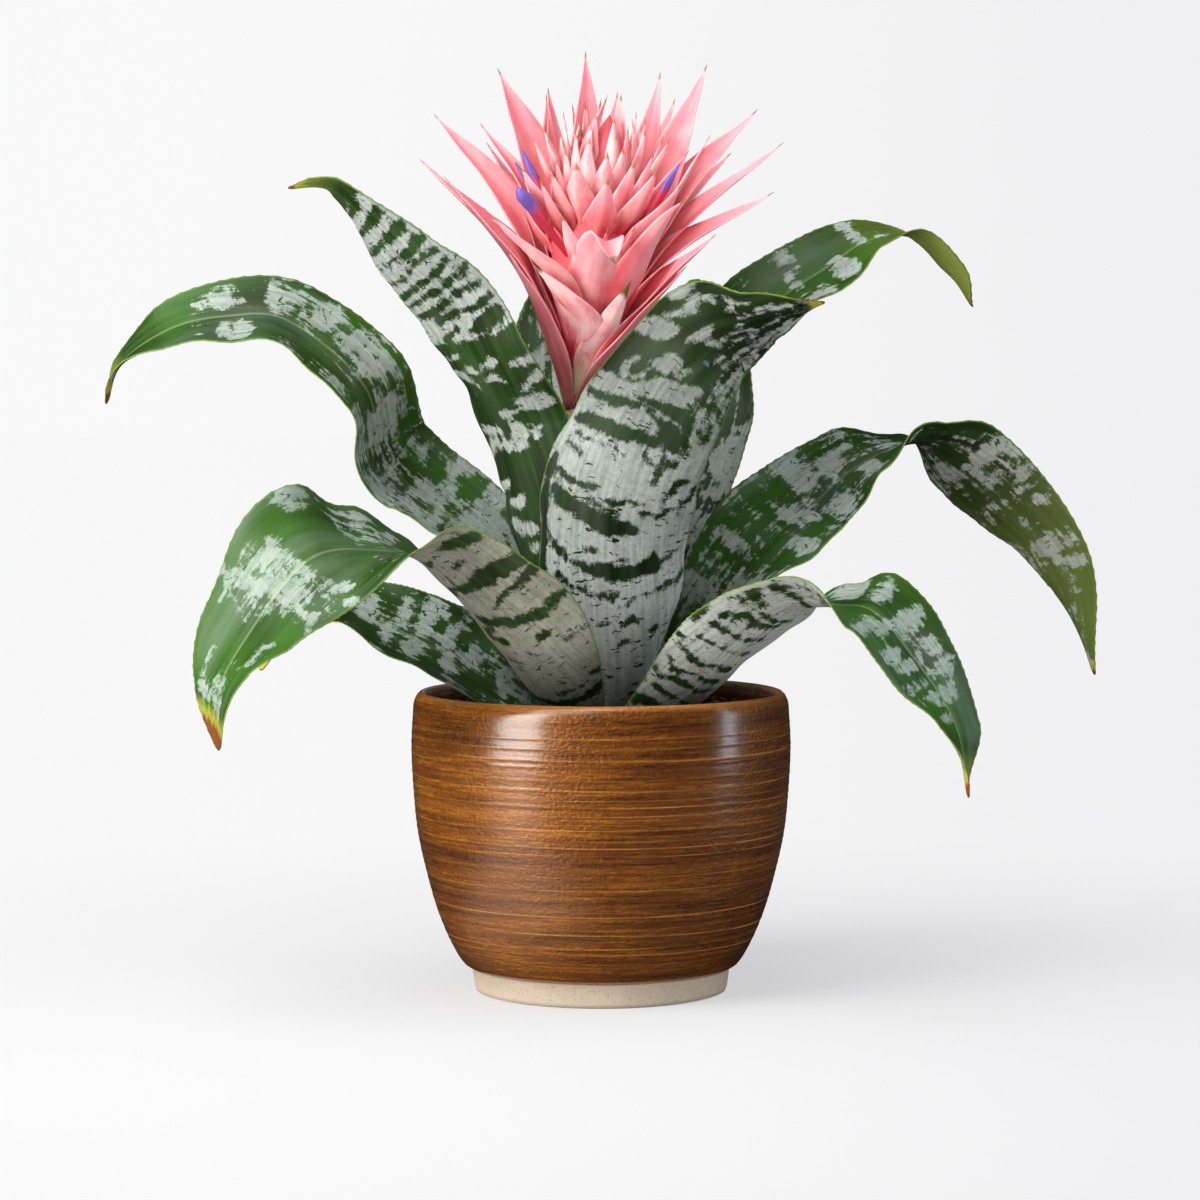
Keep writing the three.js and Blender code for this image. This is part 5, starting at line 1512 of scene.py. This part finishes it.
# %% Flower head: core
radii = [0.01, *CORE[1:-1], 0.01]
rise = HEAD_LENGTH / (len(CORE) - 1)
core_chain = line_of(head_mesh, [(radius * MM, 0, i * rise * MM) for i, radius in enumerate(radii)])
bmesh.ops.spin(head_mesh, geom=core_chain, axis=UP, cent=(0, 0, 0), angle=FULL_TURN, steps=28, use_merge=True)
core_points = [corner for corner in head_mesh.verts if corner[layers[1]].length == 0]
for corner in core_points:
    corner[layers[1]] = Vector((0.15, 0.01, 0.1))
    corner[layers[2]] = Vector((2.5 * (corner.co.z < 0.03), 3, 0))
tilt = UP.rotation_difference(Vector(HEAD_AXIS)).to_matrix().to_4x4()
bmesh.ops.transform(head_mesh, matrix=Matrix.Translation(Vector(HEAD_FOOT) * MM) @ tilt, verts=core_points)
bmesh.ops.remove_doubles(head_mesh, verts=core_points, dist=0.05 * MM)
head = finish_piece(head_mesh, "flower_head_bracts", [bract_pink], "flower_head")
thin_out(head, thicken(head, BRACT_THICKNESS), away=2, share=0.3, width=14)

# %% [markdown]
# ## Stalk
# A cream stalk carries the head through the middle of the rosette, with three bracts that
# clasp it. A ring of points is pushed along the stalk's line, step by step.

# %% Stalk: finish
stalk_paint, tree, shader = new_material(
    "stalk_cream", Roughness=0.6, Subsurface_Weight=0.1, Subsurface_Scale=0.003)
seat = object_place(tree)
stripes = cloud(tree, seat, (700, 700, 25), detail=3)
blush = between(tree, axes(tree, seat)["Z"], 0.235, 0.262)
cream = blend(tree, blush, paint("#e6d9c2"), paint("#ecb0a0"))
feed(tree, shader.inputs["Base Color"], blend(tree, stripes, cream, paint("#f0e4d4"), "MULTIPLY"))
relief(tree, shader, stripes, 0.0003, 0.5)
print("finish:", stalk_paint.name)

# %% Stalk: shape
STALK_RADIUS = 3.6
STALK_STEPS = 44
below_head = [HEAD_FOOT - HEAD_AXIS * distance for distance in (10, 0.4)]
stalk_line = Spine([(0, 0, 120), (-1, 0, 160), (-5, -2, 205), (-9, -3, 234), *below_head])
stalk_mesh = bmesh.new()
ring = bmesh.ops.create_circle(stalk_mesh, cap_ends=True, segments=18, radius=STALK_RADIUS * MM)["verts"]
shares = np.linspace(0, 1, STALK_STEPS + 1)
centres, headings = stalk_line.points(shares), stalk_line.tangents(shares)
bmesh.ops.transform(stalk_mesh, matrix=Matrix.Translation(Vector(centres[0]) * MM), verts=ring)
edges = list({edge for corner in ring for edge in corner.link_edges})
for here, there, before, after in zip(centres, centres[1:], headings, headings[1:]):
    grown = bmesh.ops.extrude_edge_only(stalk_mesh, edges=edges)["geom"]
    ring = [item for item in grown if isinstance(item, bmesh.types.BMVert)]
    edges = [item for item in grown if isinstance(item, bmesh.types.BMEdge)]
    turn = Vector(before).rotation_difference(Vector(after)).to_matrix().to_4x4()
    step = Matrix.Translation(Vector(there) * MM) @ turn @ Matrix.Translation(Vector(here) * -MM)
    bmesh.ops.transform(stalk_mesh, matrix=step, verts=ring)
bmesh.ops.contextual_create(stalk_mesh, geom=edges)
bmesh.ops.recalc_face_normals(stalk_mesh, faces=stalk_mesh.faces)
finish_piece(stalk_mesh, "stalk", [stalk_paint], "flower_stalk")

# %% Stalk: clasping bracts
CLASPING = [                      # foot, middle and tip
    ((-6, -2, 214), (-9, -7, 236), (-17, -11, 256)), ((-5, -1, 205), (0, 3, 228), (6, 8, 246)),
    ((-2, 0, 175), (-3, 7, 196), (-8, 14, 212)),
]
CLASP_HALF = 5.5
CLASP_ROWS = 20
clasp_mesh = bmesh.new()
flat, spot, tone = new_layers(clasp_mesh, *BRACT_LAYERS)
shares = np.linspace(0, 1, CLASP_ROWS + 1)
for number, (foot, middle, tip) in enumerate(CLASPING):
    path = Spine([foot, middle, tip])
    out = np.array([tip[0] - foot[0], tip[1] - foot[1], 0.0])
    out /= np.linalg.norm(out)
    side = np.cross((0, 0, 1), out)
    centres = path.points(shares)
    grid = bmesh.ops.create_grid(clasp_mesh, x_segments=8, y_segments=CLASP_ROWS, size=1)
    for corner in grid["verts"]:
        row = round((corner.co.y + 1) / 2 * CLASP_ROWS)
        u = corner.co.x
        share = shares[row]
        half = max(0.3, CLASP_HALF * (1 - share ** 2))
        corner[flat] = Vector((u * half * MM, share * path.length * MM, number + 80))
        corner[spot] = Vector((share, (1 - abs(u)) * half * MM, (1 - share) * path.length * MM))
        corner[tone] = Vector((0.3, 2, 0))
        corner.co = Vector(centres[row] + side * half * u - out * 0.4 * half * u * u) * MM
clasps = finish_piece(clasp_mesh, "clasping_bracts", [bract_pink])
thicken(clasps, BRACT_THICKNESS)

# %% [markdown]
# ## Petals
# The true flowers are small violet tubes that peep out between the bracts. Each is spun from
# a profile and turned to its place.

# %% Petals: finish
violet, tree, shader = new_material(
    "petal_violet", Roughness=0.45, Subsurface_Weight=0.15, Subsurface_Scale=0.002)
veins = cloud(tree, object_place(tree), (800, 800, 120), detail=3)
bloom = blend(tree, veins, paint("#523a98"), paint("#8167bd"))
reddish = between(tree, attribute(tree, "petal_share", "Fac"), 0.78, 0.6)
feed(tree, shader.inputs["Base Color"], blend(tree, reddish, bloom, paint("#c8374f")))
relief(tree, shader, veins, 0.0003, 0.6)
print("finish:", violet.name)

# %% Petals: shapes
PETALS = {
    "petal_01_left_upper": dict(foot=(-15, -10, 336), tip=(-35.5, -12, 378), radius=1.9, fullest=0.7),
    "petal_02_left_lower": dict(foot=(-14, -14, 330), tip=(-37, -31, 360), radius=3.3, fullest=0.87),
    "petal_03_right": dict(foot=(13, -11, 334), tip=(34.5, -21, 371), radius=2.1, fullest=0.7),
    "petal_04_back_right": dict(foot=(11, 13, 334), tip=(33, 33, 370), radius=2, fullest=0.7),
    "petal_05_back": dict(foot=(-2, 17, 332), tip=(-6, 43, 366), radius=3.1, fullest=0.87),
    "petal_06_back_left": dict(foot=(-14, 10, 336), tip=(-39, 22, 374), radius=1.9, fullest=0.7),
}


def petal_swell(t, fullest):
    """How wide a petal is at a share of its length: it swells, then closes to its tip."""
    if t < fullest:
        return 0.4 + 0.6 * float(smooth(t / fullest))
    return math.cos((t - fullest) / (1 - fullest) * 1.4)


for name, shape in PETALS.items():
    start, end = Vector(shape["foot"]) * MM, Vector(shape["tip"]) * MM
    length = (end - start).length / MM
    shares = np.linspace(0, 1, 25)
    profile = [(shape["radius"] * petal_swell(t, shape["fullest"]), float(t) * length) for t in shares]
    petal = bmesh.new()
    spun(petal, [(0, 0), *profile, (0, length)], steps=24)
    along = petal.verts.layers.float.new("petal_share")
    for corner in petal.verts:
        turn, _, height = polar(corner)
        corner[along] = height / length
        folds = 1 + math.cos(3 * turn + corner.co.z * 300)
        corner.co.xy *= 1 - 0.09 * folds * smooth(corner[along] * 2)
    tilt = UP.rotation_difference(end - start).to_matrix().to_4x4()
    bmesh.ops.transform(petal, matrix=Matrix.Translation(start) @ tilt, verts=petal.verts)
    finish_piece(petal, name + "_tube", [violet], name)

# %% [markdown]
# ## Sizes
# Both boxes, of the solids and of the visual model, are printed. The visual model has to
# stay inside the box of the solids.

# %% Sizes and the end
visual_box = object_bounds()
for label, low, high in (("solids", *cad_box), ("visual", *visual_box)):
    print(label, [round(x / MM, 1) for x in low], [round(x / MM, 1) for x in high])
